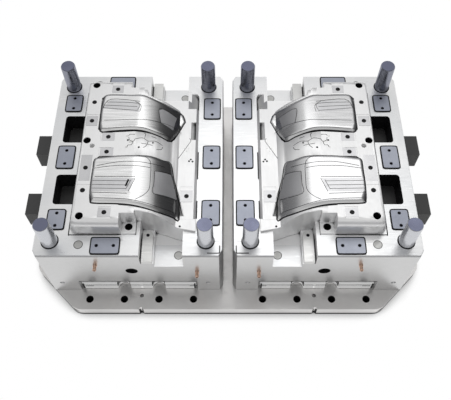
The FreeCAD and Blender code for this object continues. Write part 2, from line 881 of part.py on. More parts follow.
# Outlines of the two panel cores and the lines on them, inwards from their outer edge and
# backwards from their front edge
UPPER_OUTLINE = [(16, 0), (144, 8), (287, -6), (333, 102), (327, 137), (304, 151),
                 (187, 179), (147, 190), (16, 190), (0, 174), (0, 16)]
UPPER_LIP = [(-4, 57), (41, 61), (102, 64), (163, 57), (223, 44), (263, 29), (292, 17)]
UPPER_LINES = [(0, 128, 148), (0, 149, 150), (0, 167, 146), (0, 178, 144)]
UPPER_PANEL = [(14, 94), (168, 95), (140, 146), (9, 146)]
UPPER_FIELD = [(243, 118), (242, 53), (293, 34), (318, 92), (259, 122)]
LOWER_OUTLINE = [(16, 201), (119, 204), (285, 197), (324, 74), (347, -21), (281, -27),
                 (227, -17), (172, -8), (115, 0), (16, 0), (0, 16), (0, 185)]
LOWER_LIP = [(-4, 158), (63, 161), (121, 162), (178, 162), (216, 160), (273, 152), (305, 132)]
LOWER_LINES = [(0, 130, 165), (0, 117, 160)]
LOWER_PANEL = [(6, 45), (142, 45), (160, 103), (0, 103)]
LOWER_RIBS = [(4, 62, 146), (4, 77, 150), (4, 90, 154)]
LOWER_SLOT = [(146, 60), (140, 60), (134, 96), (140, 96)]
LOWER_FIELD = [(222, 65), (219, 1), (279, -16), (333, -11), (310, 78), (293, 124), (270, 144),
               (218, 153)]
LOWER_NOTCH = [(175, 149), (171, 149), (167, 126), (171, 126)]
# Where the raised insert stops behind the upper panel core
BACK_RELIEF = [(462, 226), (395, 226), (248, 263), (246, 294), (462, 294)]
TRIM_LINE = [(171, -266), (216, -270), (280, -279), (365, -284)]


def core_places():
    """Plan outline of each panel core."""
    front = -size.lower_back - size.lower_depth
    return {
        "upper": from_core_edge(size.upper_front, UPPER_OUTLINE),
        "lower": from_core_edge(front, LOWER_OUTLINE),
    }


def surface_cutter(points, offset):
    """What stands on a plan outline above the shaped top at an offset from it."""
    return plan_solid(points, window_floor, land + size.land_rise).common(sky(offset))


SKIES = {}


def sky(offset):
    """The shape of the space above the insert's top at an offset, made once for each offset."""
    key = round(float(offset), 6)
    if key not in SKIES:
        SKIES[key] = shaped_space("sky_%d" % len(SKIES), key).Shape
    return SKIES[key]


def core_marks(name, front):
    """Cutters for the lips, ridges and fields on top of a panel core."""
    rise = float(size.core_rise)
    ridge, field = rise - float(size.ridge_depth), rise - float(size.field_depth)
    line, slot_floor = rise - float(size.ridge_line_depth), rise - float(size.slot_depth)
    upper = name == "upper"
    lip = UPPER_LIP if upper else LOWER_LIP
    lines = UPPER_LINES if upper else LOWER_LINES + LOWER_RIBS
    cutters = [surface_cutter(strip(from_core_edge(front, lip), size.ridge_width), ridge)]
    for start, along, end in lines:
        path = from_core_edge(front, [(start - OVER, along), (end, along)])
        cutters.append(surface_cutter(strip(path, size.ridge_width), line))
    panel = from_core_edge(front, UPPER_PANEL if upper else LOWER_PANEL)
    cutters.append(surface_cutter(panel, ridge))
    hollow = from_core_edge(front, UPPER_FIELD if upper else LOWER_FIELD)
    cutters.append(surface_cutter(hollow, field))
    if not upper:
        for points in (LOWER_SLOT, LOWER_NOTCH):
            slot = from_core_edge(front, points)
            cutters.append(surface_cutter(slot, slot_floor))
    return cutters


def feature(name, shape):
    """An object of the document that holds a shape made here."""
    item = doc.addObject("Part::Feature", name)
    item.Shape = shape
    return item


def panel_core(name):
    """Shaped core of one panel, let into the insert and screwed to it from below."""
    front = size.upper_front if name == "upper" else -size.lower_back - size.lower_depth
    points = core_places()[name]
    blank = feature(name + "_core_blank",
                    plan_solid(points, seat_of_cores, land + size.core_rise))
    above = feature(name + "_core_above", sky(size.core_rise))
    marks = feature(name + "_core_marks", Part.makeCompound(core_marks(name, front)))
    tools = [above]
    for index, (x, y) in enumerate(inwards(CORE_SCREWS[name])):
        tip = insert_floor + size.core_screw_length + size.insert_screw_diameter
        tools.append(rod("%s_core_thread_%d" % (name, index), x, y, seat_of_cores - OVER,
                         size.insert_screw_diameter, tip - seat_of_cores + OVER * 2))
    shaped = cut(name + "_core_shaped", blank, *tools)
    return cut(name + "_panel_core_right", shaped, marks)


def slope(name, low_across, high_across, low_up, high_up, start, length):
    """Cutter with a sloping floor that falls towards the middle of the mould."""
    spots = [(low_across, low_up), (high_across, high_up), (high_across, high_up + size.land_rise),
             (low_across, high_up + size.land_rise)]
    path = [Vector(float(x), float(start), float(z)) for x, z in spots]
    face = Part.Face(Part.makePolygon(path + path[:1]))
    return feature(name, face.extrude(Vector(0, float(length), 0)))


def outer_draft():
    """Cutter that leans the insert's outer wall back from the parting face to the land."""
    low, high = float(parting), float(land + OVER)
    foot, top = float(insert_outer), float(land_outer)
    lean = (foot - top) / float(size.land_rise)
    spots = [(foot, low), (foot + OVER, low), (foot + OVER, high), (top - lean * OVER, high)]
    path = [Vector(x, -float(size.insert_depth), z) for x, z in spots]
    face = Part.Face(Part.makePolygon(path + path[:1]))
    return feature("outer_draft", face.extrude(Vector(0, float(size.insert_depth) * 2, 0)))


def core_insert(shared_tools):
    """Shaped insert let into the block, with the seats of both panel cores."""
    x0, x1 = insert_inner + size.insert_clearance, insert_outer - size.insert_clearance
    y = size.insert_depth / 2 - size.insert_clearance
    corners = [(x0, -y), (x1, -y), (x1, y), (x0, y)]
    height = size.insert_seat + size.land_rise
    blank = prism("insert_blank", corners, insert_floor, height, [(corners, size.insert_round)])
    dress_top(blank, "Fillet", height, Radius=size.insert_top_round)

    tools = [feature("insert_sky", sky(0)), outer_draft()] + shared_tools
    half = size.insert_depth / 2
    for end in ENDS:
        start = channel_end if end > 0 else -half - OVER
        tools.append(box("insert_step_%d" % end, insert_inner - OVER, start, parting,
                         front_pad_inner - insert_inner + OVER,
                         half - channel_end + OVER, size.land_rise + OVER))
        start = front_pad_along if end > 0 else -half - OVER
        tools.append(box("insert_pad_%d" % end, front_pad_inner - OVER, start,
                         parting + size.front_pad_rise,
                         front_pad_outer - front_pad_inner + OVER,
                         half - front_pad_along + OVER, size.land_rise + OVER))
        x = insert_outer - size.finger_bore_depth
        tools.append(rod("finger_bore_%d" % end, x, size.window_along * end, finger_level,
                         size.finger_bore_diameter, size.finger_bore_depth + OVER, "across"))
    tools.append(prism("back_relief", inwards(BACK_RELIEF), low_land, size.land_rise + OVER))
    faces = [(land, corners) for corners in LAND_FACES] + [(low_land, corners) for corners in LOW_FACES]
    for index, (top, corners) in enumerate(faces):
        (left, front), (right, back) = inwards(corners)
        tools.append(box("contact_face_%d" % index, left, front, top - size.contact_depth,
                         right - left, back - front, size.contact_depth + OVER))
    bore = size.insert_screw_diameter * HEAD_WIDTH + BORE_EXTRA
    for index, (x, y) in enumerate(inwards(INSERT_SCREWS)):
        seat = insert_floor + size.insert_screw_grip
        tools.append(rod("insert_hole_%d" % index, x, y, insert_floor - OVER,
                         size.insert_screw_diameter + size.screw_clearance * 2,
                         size.insert_screw_grip + OVER * 2))
        tools.append(rod("insert_bore_%d" % index, x, y, seat, bore, land - seat + OVER))
    lifts = [(spot, land) for spot in LAND_LIFTS] + [(PAD_LIFT, parting + size.front_pad_rise)]
    for index, ((x, y), top) in enumerate(lifts):
        deep = size.lift_depth + size.lift_depth_step * index
        tools.append(rod("lift_hole_%d" % index, x, y, top - deep, size.lift_diameter, deep + OVER))
    x, y = DOWEL_HOLE
    tools.append(rod("dowel_hole", x, y, land - size.lift_depth, size.dowel_diameter,
                     size.lift_depth + OVER))
    for name, spots in CORE_SCREWS.items():
        for index, (x, y) in enumerate(inwards(spots)):
            wide = size.insert_screw_diameter * HEAD_WIDTH + BORE_EXTRA
            tools.append(rod("%s_core_hole_%d" % (name, index), x, y, insert_floor - OVER,
                             size.insert_screw_diameter + size.screw_clearance * 2,
                             seat_of_cores - insert_floor + OVER * 2))
            tools.append(rod("%s_core_room_%d" % (name, index), x, y, insert_floor - OVER, wide,
                             size.insert_screw_diameter + HEAD_SUNK + OVER))
    inner, outer = insert_inner, insert_inner + size.heel_width
    tools.append(slope("heel_back", inner, outer, low_land - size.heel_drop, low_land,
                       channel_end - size.heel_reach / 2, size.heel_reach))
    start = inner + size.relief_inset
    tools.append(slope("relief_middle", start, start + size.relief_width,
                       low_land - size.relief_drop, low_land,
                       size.upper_front + size.relief_gap, size.relief_length))

    shapes = []
    for name, points in core_places().items():
        shapes.append(plan_solid(points, seat_of_cores, land + size.land_rise))
        face = Part.Face(Part.makePolygon([Vector(x, y, 0) for x, y in points + points[:1]]))
        wide = face.makeOffset2D(float(size.core_outline_gap), 2)
        wide.translate(Vector(0, 0, float(window_floor)))
        tall = wide.extrude(Vector(0, 0, float(size.window_depth + size.land_rise * 2)))
        shapes.append(tall.common(sky(-size.core_outline_depth)))
    shapes.append(surface_cutter(strip(inwards(TRIM_LINE), size.trim_groove), -size.trim_groove))
    tools.append(feature("core_seats", shapes[0].multiFuse(shapes[1:])))
    return cut("core_insert_right", blank, *tools)


def guide_pillar(name, across, along):
    """Shouldered guide pillar pressed in from the bottom of the block."""
    head, fit, guide = [item / 2 for item in (size.pillar_head_diameter,
                                              size.pillar_fit_diameter, size.pillar_diameter)]
    shoulder = size.block_height - size.pillar_ring_depth
    top = size.block_height + size.pillar_reach
    body = turned("guide_pillar_" + name, [
        (0, 0), (head, 0), (head, size.pillar_head_height), (fit, size.pillar_head_height),
        (fit, shoulder), (guide, shoulder), (guide, top - size.pillar_tip),
        (guide - size.pillar_tip / 2, top), (0, top),
    ])
    return place(body, across, along, size.plate_height)


def wear_plate(name):
    """Hardened wear plate with two counterbored screws."""
    across, along, kind, way = WEAR_PLATES[name]
    length, width = WEAR_LENGTHS[kind][0], size.wear_width
    if way == "along":
        length, width = width, length
    blank = plate("wear_blank_" + name, across, along, wear_floor, length, width,
                  size.wear_thickness, size.wear_round)
    tools = [counterbored("wear_screw_%s_%d" % (name, index), x, y, parting + size.wear_proud,
                          size.wear_screw_diameter, size.wear_thickness)
             for index, (x, y) in enumerate(wear_screw_spots(name))]
    return cut("wear_plate_%s_right" % name, blank, *tools)


def channel_gib():
    """Bar screwed to the floor of the narrow channel, rounded at its inner end."""
    middle = gib_channel_outer - size.gib_channel_width / 2
    x0, x1 = middle - size.gib_width / 2, middle + size.gib_width / 2
    y0, y1 = block_front, block_front + size.gib_length
    inner = [(x1, y1), (x0, y1)]
    bar = prism("gib_bar", [(x0, y0), (x1, y0)] + inner, gib_floor, size.gib_height,
                [(inner, size.gib_round)])
    x, y = gib_screw_spot()
    hole = counterbored("gib_screw", x, y, gib_floor + size.gib_height, size.wear_screw_diameter,
                        size.gib_height)
    return cut("channel_gib_front_right", bar, hole)


def gib_screw_spot():
    """Plan place of the screw in the front gib."""
    middle = gib_channel_outer - size.gib_channel_width / 2
    return middle, block_front + size.gib_length - size.gib_screw_inset


def side_slide(name, end):
    """Slide block in its window with its piston rod, its piston and its core finger."""
    outer = window_outer - size.slide_clearance
    inner = outer - size.slide_length
    y = size.window_along * end
    half = size.window_length / 2 - size.slide_clearance
    rounded = [(outer, y - half), (outer, y + half)]
    block = prism("slide_block_" + name, [(inner, y - half)] + rounded + [(inner, y + half)],
                  window_floor + size.slide_clearance, size.slide_height,
                  [(rounded, size.window_round)])
    start = block_outer + size.piston_end_room + size.slide_stroke
    shaft = rod("slide_rod_" + name, outer - OVER, y, rod_level, size.rod_diameter,
                start - outer + OVER * 2, "across")
    piston = rod("slide_piston_" + name, start, y, rod_level, size.piston_diameter,
                 size.piston_thickness, "across")
    finger = rod("slide_finger_" + name, inner - size.finger_length, y, finger_level,
                 size.finger_diameter, size.finger_length + OVER, "across")
    return fuse("side_slide_%s_right" % name, block, shaft, piston, finger)


def side_cylinder(name, end):
    """Block cylinder on the outer side of the core block."""
    y, z = size.window_along * end, rod_level
    blank = box("cylinder_blank_" + name, block_outer, y - size.cylinder_width / 2,
                z - size.cylinder_height / 2, size.cylinder_length, size.cylinder_width,
                size.cylinder_height)
    depth = size.piston_end_room * 2 + size.slide_stroke + size.piston_thickness
    tools = [rod("cylinder_bore_" + name, block_outer - OVER, y, z,
                 size.piston_diameter + size.running_clearance * 2, depth + OVER, "across")]
    for index, (side, level) in enumerate(CYLINDER_SCREW_ENDS):
        x, sy, sz = cylinder_screw_spot(end, side, level)
        tools.append(rod("cylinder_hole_%s_%d" % (name, index), block_outer - OVER, sy, sz,
                         size.cylinder_screw_diameter + size.screw_clearance * 2,
                         size.cylinder_length + OVER * 2, "across"))
        deep = size.cylinder_screw_diameter + HEAD_SUNK
        tools.append(rod("cylinder_room_%s_%d" % (name, index), x - deep, sy, sz,
                         size.cylinder_screw_diameter * HEAD_WIDTH + BORE_EXTRA, deep + OVER,
                         "across"))
    return cut("side_cylinder_%s_right" % name, blank, *tools)


def ejector_plate(name, low, tools):
    """One plate of the ejector set with its end notches, pry slots and handling holes."""
    y = block_depth / 2 - size.ejector_face_gap
    blank = box(name + "_blank", ejector_inner, -y, low, ejector_outer - ejector_inner, y * 2,
                size.ejector_plate_height)
    through = size.ejector_plate_height + OVER * 2
    for end in ENDS:
        for step in (2, 3):
            tools.append(rod("%s_notch_%d_%d" % (name, end, step), size.clamp_pitch * step, y * end,
                             low - OVER, size.ejector_notch_radius * 2, through))
        start = y - size.ejector_slot_depth if end > 0 else -y - OVER
        for step in (1, 4):
            x = size.clamp_pitch * step - size.ejector_slot_width / 2
            tools.append(box("%s_slot_%d_%d" % (name, end, step), x, start,
                             ejector_split - size.ejector_slot_height / 2,
                             size.ejector_slot_width, size.ejector_slot_depth + OVER,
                             size.ejector_slot_height))
        start = y - size.ejector_handling_depth if end > 0 else -y - OVER
        tools.append(rod("%s_handling_%d" % (name, end), pattern_middle, start,
                         low + size.ejector_plate_height / 2, size.ejector_handling_diameter,
                         size.ejector_handling_depth + OVER, "along"))
    for index, (x, y) in enumerate(SUPPORTS):
        wide = size.support_diameter + size.support_clearance * 2
        tools.append(rod("%s_support_%d" % (name, index), x, y, low - OVER, wide, through))
    return cut(name + "_right", blank, *tools)


def headed_pin(name, across, along, diameter, head_diameter, head_height, top):
    """Pin with a head that the retainer plate holds."""
    shank = rod(name + "_shank", across, along, ejector_split, diameter, top - ejector_split)
    head = rod(name + "_head", across, along, ejector_split, head_diameter, head_height)
    return fuse(name, shank, head)


def compound(name, *pieces):
    item = doc.addObject("Part::Compound", name)
    item.Links = list(pieces)
    return item


def ejector_pins():
    """All ejector pins of one half, flush with the insert's top."""
    pins = [headed_pin("ejector_pin_%d" % index, x, y, thick, thick + size.pin_head_extra,
                       size.pin_head_height, top)
            for index, (x, y, thick, top) in enumerate(ejector_pin_spots())]
    return compound("ejector_pins_right", *pins)


def return_pins():
    """The four return pins of one half, two of them flush with the deep channels."""
    pins = [headed_pin("return_pin_%d" % index, x, y, size.return_diameter,
                       size.return_head_diameter, size.return_head_height, top)
            for index, (x, y, top) in enumerate(RETURN_PINS)]
    return compound("return_pins_right", *pins)


def ejector_retainer():
    """Upper plate of the ejector set, bored for the heads of the pins."""
    tools = []
    slack = size.pin_head_clearance
    for index, (x, y, top) in enumerate(RETURN_PINS):
        name = "retainer_return_%d" % index
        tools.append(rod(name, x, y, ejector_split - OVER, size.return_diameter + slack,
                         size.ejector_plate_height + OVER * 2))
        tools.append(rod(name + "_head", x, y, ejector_split - OVER,
                         size.return_head_diameter + slack, size.return_head_height + OVER))
    for index, (x, y, thick, top) in enumerate(ejector_pin_spots()):
        name = "retainer_pin_%d" % index
        tools.append(rod(name, x, y, ejector_split - OVER, thick + slack,
                         size.ejector_plate_height + OVER * 2))
        tools.append(rod(name + "_head", x, y, ejector_split - OVER,
                         thick + size.pin_head_extra + slack, size.pin_head_height + OVER))
    for index, (x, y) in enumerate(EJECTOR_SCREWS):
        tools.append(rod("retainer_thread_%d" % index, x, y, ejector_split - OVER,
                         size.ejector_screw_diameter, size.ejector_plate_height))
    return ejector_plate("ejector_retainer_plate", ejector_split, tools)


def ejector_base():
    """Lower plate of the ejector set, bored from below for its screws."""
    tools = []
    for index, (x, y) in enumerate(EJECTOR_SCREWS):
        name = "ejector_hole_%d" % index
        thick = size.ejector_screw_diameter
        tools.append(rod(name, x, y, ejector_low - OVER, thick + size.screw_clearance * 2,
                         size.ejector_plate_height + OVER * 2))
        tools.append(rod(name + "_room", x, y, ejector_low - OVER, thick * HEAD_WIDTH + BORE_EXTRA,
                         thick + HEAD_SUNK + OVER))
    return ejector_plate("ejector_base_plate", ejector_low, tools)


def nipples():
    """Coolant nipples on the front face of both blocks."""
    bore, thread = size.nipple_bore_diameter / 2, size.nipple_thread_diameter / 2
    barrel, reach, inside = size.nipple_diameter / 2, size.nipple_reach, size.nipple_thread_length
    neck = barrel - size.nipple_neck_step
    form = turned("nipple_form", [
        (bore, -inside), (thread, -inside), (thread, 0), (barrel, 0), (barrel, size.nipple_collar),
        (neck, size.nipple_collar + size.nipple_neck_step), (neck, size.nipple_barb_start),
        (neck + size.nipple_barb_step, size.nipple_barb_crest),
        (barrel - size.nipple_tip_step, reach), (bore, reach),
    ])
    doc.recompute()
    spots = [(x, block_front, z) for x, z in nipple_spots().values()]
    return group("coolant_nipples", form.Shape, both_sides(spots), Rotation(Vector(1, 0, 0), 90))


def fasteners():
    """Groups of like screws, supports and stop buttons for both halves."""
    sunk = size.base_screw_diameter + HEAD_SUNK
    items = [group("base_plate_screws", screw(size.base_screw_diameter, size.base_screw_length),
                   both_sides([(x, y, HEAD_SUNK) for x, y in BASE_SCREWS]), DOWN)]

    top = parting + size.wear_proud - HEAD_SUNK
    spots = [(x, y, top) for name in WEAR_PLATES for x, y in wear_screw_spots(name)]
    x, y = gib_screw_spot()
    up = gib_floor + size.gib_height - HEAD_SUNK
    spots += [(x, y, up), (x, -y, up)]
    items.append(group("wear_plate_screws", screw(size.wear_screw_diameter, size.wear_screw_length),
                       both_sides(spots)))

    up = insert_floor + size.insert_screw_grip + size.insert_screw_diameter
    items.append(group("insert_screws", screw(size.insert_screw_diameter, size.insert_screw_length),
                       both_sides([(x, y, up) for x, y in inwards(INSERT_SCREWS)])))
    spots = [(x, y, insert_floor + HEAD_SUNK) for part in CORE_SCREWS.values() for x, y in inwards(part)]
    items.append(group("panel_core_screws", screw(size.insert_screw_diameter, size.core_screw_length),
                       both_sides(spots), DOWN))

    column = Part.makeCylinder(float(size.support_diameter) / 2, float(size.housing_height))
    spots = [(x, y, size.plate_height) for x, y in SUPPORTS]
    items.append(group("support_pillars", column, both_sides(spots)))
    disc = Part.makeCylinder(float(size.button_diameter) / 2, float(size.button_height))
    spots = [(x, y, size.plate_height) for x, y in BUTTONS]
    items.append(group("stop_buttons", disc, both_sides(spots)))

    form = screw(size.cylinder_screw_diameter, size.cylinder_screw_length)
    heads = []
    for side in (1, -1):
        for end in ENDS:
            for across, level in CYLINDER_SCREW_ENDS:
                x, y, z = cylinder_screw_spot(end, across, level)
                copy = form.copy()
                turn = Rotation(Vector(0, 1, 0), 90 * side)
                copy.Placement = Placement(Vector(float(x - HEAD_SUNK) * side, float(y), float(z)), turn)
                heads.append(copy)
    items.append(feature("cylinder_screws", Part.makeCompound(heads)))
    return items


def ejector_screws():
    """Screws that hold the two ejector plates of the right-hand half together."""
    form = screw(size.ejector_screw_diameter, size.ejector_screw_length)
    spots = [(x, y, ejector_low + HEAD_SUNK) for x, y in EJECTOR_SCREWS]
    return group("ejector_plate_screws_right", form, spots, DOWN)


def along_mirror(item, name):
    """Mirror image of a front piece about the plane across the middle of the block."""
    copy = doc.addObject("Part::Mirroring", name)
    copy.Source = item
    copy.Normal = Vector(0, 1, 0)
    return copy


nodes = [clamp_plate()] + fasteners() + [nipples()]

gib = channel_gib()
gib_back = along_mirror(gib, "channel_gib_back_right")
gibs = [gib, gib_back, mirrored(gib, "channel_gib_front_left"),
        mirrored(gib_back, "channel_gib_back_left")]
nodes.append(compound("channel_gibs", *gibs))

shared_tools = channels(-1) + channels(1) + pin_bores() + gib_threads()
halves = [core_block(shared_tools), core_insert(shared_tools)]
halves += [panel_core("upper"), panel_core("lower")]
for name, (across, along) in PILLARS.items():
    halves.append(guide_pillar(name + "_right", across, along))
for name in WEAR_PLATES:
    halves.append(wear_plate(name))
for name, end in (("front", -1), ("back", 1)):
    halves += [side_slide(name, end), side_cylinder(name, end)]
halves += [return_pins(), ejector_pins(), ejector_retainer(), ejector_base(), ejector_screws()]
nodes += halves
nodes += [mirrored(item, item.Name.replace("_right", "_left")) for item in halves]

for item in nodes:
    item.Label = item.Name
doc.recompute()

failed = [item.Name for item in doc.Objects if {"Invalid", "Error"} & set(item.State)]
failed += [item.Name for item in nodes if item.Shape.isNull() or not item.Shape.isValid()]
if failed:
    raise RuntimeError("not built: " + ", ".join(failed))

os.makedirs("parts", exist_ok=True)
for item in nodes:
    item.Shape.exportStep("parts/%s.step" % item.Label)
print("nodes", len(nodes))
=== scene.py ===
import json
import math

import bmesh
import bpy
from mathutils import Matrix, Vector


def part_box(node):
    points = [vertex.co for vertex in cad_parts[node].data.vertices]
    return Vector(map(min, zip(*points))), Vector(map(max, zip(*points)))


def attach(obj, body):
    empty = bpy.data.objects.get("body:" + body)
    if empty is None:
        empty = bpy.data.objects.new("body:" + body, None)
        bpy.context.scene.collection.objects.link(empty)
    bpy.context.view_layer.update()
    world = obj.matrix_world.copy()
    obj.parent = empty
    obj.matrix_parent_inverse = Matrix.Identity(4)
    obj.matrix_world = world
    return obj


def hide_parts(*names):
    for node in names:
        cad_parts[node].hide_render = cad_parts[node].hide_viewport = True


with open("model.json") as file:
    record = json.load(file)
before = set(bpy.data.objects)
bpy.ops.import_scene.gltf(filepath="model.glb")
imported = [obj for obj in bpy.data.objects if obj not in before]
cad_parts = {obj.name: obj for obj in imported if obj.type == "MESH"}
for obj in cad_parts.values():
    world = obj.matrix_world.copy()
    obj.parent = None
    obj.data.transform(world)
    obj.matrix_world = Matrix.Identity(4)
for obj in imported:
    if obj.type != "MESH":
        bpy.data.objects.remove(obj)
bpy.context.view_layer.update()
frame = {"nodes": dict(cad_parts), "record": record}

MM = 0.001
ROOT = "mould"
SIDES = {"right": 1, "left": -1}

# Levels in mm that the pieces below share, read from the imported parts
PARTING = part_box("core_block_right")[1].z / MM
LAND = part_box("core_insert_right")[1].z / MM
PLATE_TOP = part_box("base_clamp_plate")[1].z / MM


# Node helpers for the materials

def start_material(name):
    """New material, its node tree and its shader."""
    material = bpy.data.materials.new(name)
    material.use_nodes = True
    tree = material.node_tree
    return material, tree, tree.nodes["Principled BSDF"]


def grain(tree, stretch, scale, detail=4, turn=0.0):
    """Noise in object space, stretched along the axes to give a grain."""
    spots = tree.nodes.new("ShaderNodeTexCoord")
    mapping = tree.nodes.new("ShaderNodeMapping")
    mapping.inputs["Scale"].default_value = stretch
    mapping.inputs["Rotation"].default_value = (0, 0, turn)
    noise = tree.nodes.new("ShaderNodeTexNoise")
    noise.inputs["Scale"].default_value = scale
    noise.inputs["Detail"].default_value = detail
    tree.links.new(spots.outputs["Object"], mapping.inputs["Vector"])
    tree.links.new(mapping.outputs["Vector"], noise.inputs["Vector"])
    return noise.outputs["Fac"]


def spread(tree, value, low, high, start=0.3, end=0.7):
    """Map a value from the span start to end onto the span low to high."""
    node = tree.nodes.new("ShaderNodeMapRange")
    node.inputs["From Min"].default_value = start
    node.inputs["From Max"].default_value = end
    node.inputs["To Min"].default_value = low
    node.inputs["To Max"].default_value = high
    tree.links.new(value, node.inputs["Value"])
    return node.outputs["Result"]


def blended(tree, value, first, second):
    """Colour between two colours by a value."""
    node = tree.nodes.new("ShaderNodeMix")
    node.data_type = "RGBA"
    node.inputs["A"].default_value = (*first, 1)
    node.inputs["B"].default_value = (*second, 1)
    tree.links.new(value, node.inputs["Factor"])
    return node.outputs["Result"]


def tinted(tree, share, colour, tint):
    """Colour that turns into a tint by a share."""
    node = tree.nodes.new("ShaderNodeMix")
    node.data_type = "RGBA"
    tree.links.new(share, node.inputs["Factor"])
    tree.links.new(colour, node.inputs["A"])
    node.inputs["B"].default_value = (*tint, 1)
    return node.outputs["Result"]


def calculated(tree, operation, *values):
    """Result of a sum or the like on one or two values."""
    node = tree.nodes.new("ShaderNodeMath")
    node.operation = operation
    for socket, value in zip(node.inputs, values):
        tree.links.new(value, socket)
    return node.outputs["Value"]


def split_up(tree, value):
    """X, Y and Z of a direction or a place."""
    node = tree.nodes.new("ShaderNodeSeparateXYZ")
    tree.links.new(value, node.inputs["Vector"])
    return node.outputs


def object_place(tree):
    """X, Y and Z of the shaded place in the piece's own space."""
    return split_up(tree, tree.nodes.new("ShaderNodeTexCoord").outputs["Object"])


def facing(tree):
    """X, Y and Z of the way that the surface faces."""
    return split_up(tree, tree.nodes.new("ShaderNodeNewGeometry").outputs["Normal"])


def add_bump(tree, shader, height, strength, distance):
    """Fine relief from a height value."""
    node = tree.nodes.new("ShaderNodeBump")
    node.inputs["Strength"].default_value = strength
    node.inputs["Distance"].default_value = distance
    tree.links.new(height, node.inputs["Height"])
    tree.links.new(node.outputs["Normal"], shader.inputs["Normal"])


def painted_crevice_shade(tree, colour, reach=0.014):
    """Paint shade into a colour in gaps, holes and corners, darker where ambient occlusion finds them
    closed in.
    """
    hollow = tree.nodes.new("ShaderNodeAmbientOcclusion")
    hollow.samples = 8
    hollow.inputs["Distance"].default_value = reach
    unoccluded_share = spread(tree, hollow.outputs["AO"], 0, 1, 0.18, 0.62)
    node = tree.nodes.new("ShaderNodeMix")
    node.data_type = "RGBA"
    # Near-black painted shade that the colour turns into where it is closed in
    node.inputs["A"].default_value = (0.004, 0.004, 0.005, 1)
    tree.links.new(unoccluded_share, node.inputs["Factor"])
    tree.links.new(colour, node.inputs["B"])
    return node.outputs["Result"]


def steel(name, light, dark, smooth, rough, stretch=(1, 1, 1), scale=60, relief=0.05):
    """Machined steel: a grain that shifts its colour and roughness a little, with painted shade in its
    gaps, holes and corners.
    """
    material, tree, shader = start_material(name)
    shader.inputs["Metallic"].default_value = 1.0
    fine = grain(tree, stretch, scale, 6)
    cloud = grain(tree, (1, 1, 1), 7, 3)
    colour = blended(tree, spread(tree, cloud, 0, 1), dark, light)
    # Painted shade from ambient occlusion darkens the colour in gaps, holes and corners
    tree.links.new(painted_crevice_shade(tree, colour), shader.inputs["Base Color"])
    tree.links.new(spread(tree, fine, smooth, rough), shader.inputs["Roughness"])
    add_bump(tree, shader, fine, relief, 0.0004)
    return material


def painted_shade_band(material, low, high, dark, soft=0.003, across=False):
    """Paint shade onto a steel between two heights where it is upright, or where it faces right or
    left.
    """
    tree = material.node_tree
    shader = tree.nodes["Principled BSDF"]
    before = shader.inputs["Base Color"].links[0].from_socket
    height = object_place(tree)["Z"]
    way = facing(tree)
    if across:
        share = spread(tree, calculated(tree, "ABSOLUTE", way["X"]), 0, 1, 0.2, 0.5)
    else:
        share = spread(tree, way["Z"], 1, 0, 0.4, 0.7)
    for start, end in ((low - soft, low), (high + soft, high)):
        share = calculated(tree, "MULTIPLY", share, spread(tree, height, 0, 1, start, end))
    # The painted shade: the colour turns towards a dark grey on the chosen faces
    tree.links.new(tinted(tree, share, before, (dark, dark, dark)), shader.inputs["Base Color"])
    return material


def ground_block_steel():
    """Ground steel with painted shade on its upright sides and a painted shade line under the broken
    top edges.
    """
    material = steel("ground_block_steel", (0.84, 0.84, 0.84), (0.76, 0.77, 0.78), 0.26, 0.40,
                     (2, 40, 40), 12)
    # Painted shade on the upright sides below the top
    painted_shade_band(material, 0, 0.3765, 0.62)
    # Painted shade as a thin dark line on the upright faces just under the broken top edges
    return painted_shade_band(material, 0.3715, 0.3755, 0.22, 0.001)


def insert_steel():
    material = steel("insert_steel", (0.96, 0.96, 0.96), (0.90, 0.90, 0.90), 0.34, 0.46,
                     (30, 3, 30), 14)
    material.node_tree.nodes["Principled BSDF"].inputs["Metallic"].default_value = 0.68
    return material


def polished_core_steel():
    """Polished steel with painted shade on its slopes, most of all on those that face right, and over
    the right half.
    """
    material, tree, shader = start_material("polished_core_steel")
    shader.inputs["Metallic"].default_value = 1.0
    streaks = grain(tree, (1.5, 26, 1.5), 6, 5)
    way = facing(tree)
    colour = blended(tree, spread(tree, streaks, 0, 1), (0.66, 0.66, 0.66), (0.88, 0.88, 0.88))
    # Painted shade on the slopes: strong where they face right, weaker where they face left
    for start, end, dark in ((0.05, 0.40, 0.20), (-0.1, -0.45, 0.58)):
        colour = tinted(tree, spread(tree, way["X"], 0, 1, start, end), colour, (dark, dark, dark))
    # Painted shade over the right half of the mould, whose cores stand darker
    right = spread(tree, object_place(tree)["X"], 0, 0.5, 0.1, 0.3)
    colour = tinted(tree, right, colour, (0.52, 0.52, 0.53))
    tree.links.new(painted_crevice_shade(tree, colour), shader.inputs["Base Color"])
    tree.links.new(spread(tree, streaks, 0.14, 0.24), shader.inputs["Roughness"])
    return material


def ejector_plate_steel():
    """Bright ground plates with a weak painted glow, painted light so that their ends stand out in the
    slots.
    """
    material, tree, shader = start_material("ejector_plate_steel")
    shader.inputs["Metallic"].default_value = 0.1
    fine = grain(tree, (40, 2, 2), 10)
    tree.links.new(blended(tree, fine, (0.82, 0.82, 0.81), (0.95, 0.95, 0.94)),
                   shader.inputs["Base Color"])
    shader.inputs["Roughness"].default_value = 0.5
    # Painted light: a weak emission, though the plates are no lamp
    shader.inputs["Emission Color"].default_value = (1, 1, 1, 1)
    shader.inputs["Emission Strength"].default_value = 0.22
    return material


def textured_core_steel():
    return steel("textured_core_steel", (0.56, 0.56, 0.57), (0.44, 0.44, 0.45), 0.40, 0.60,
                 (1, 1, 1), 160, 0.2)


def recess_steel():
    return steel("recess_steel", (0.66, 0.66, 0.67), (0.54, 0.54, 0.55), 0.26, 0.40,
                 (4, 50, 4), 20, 0.06)


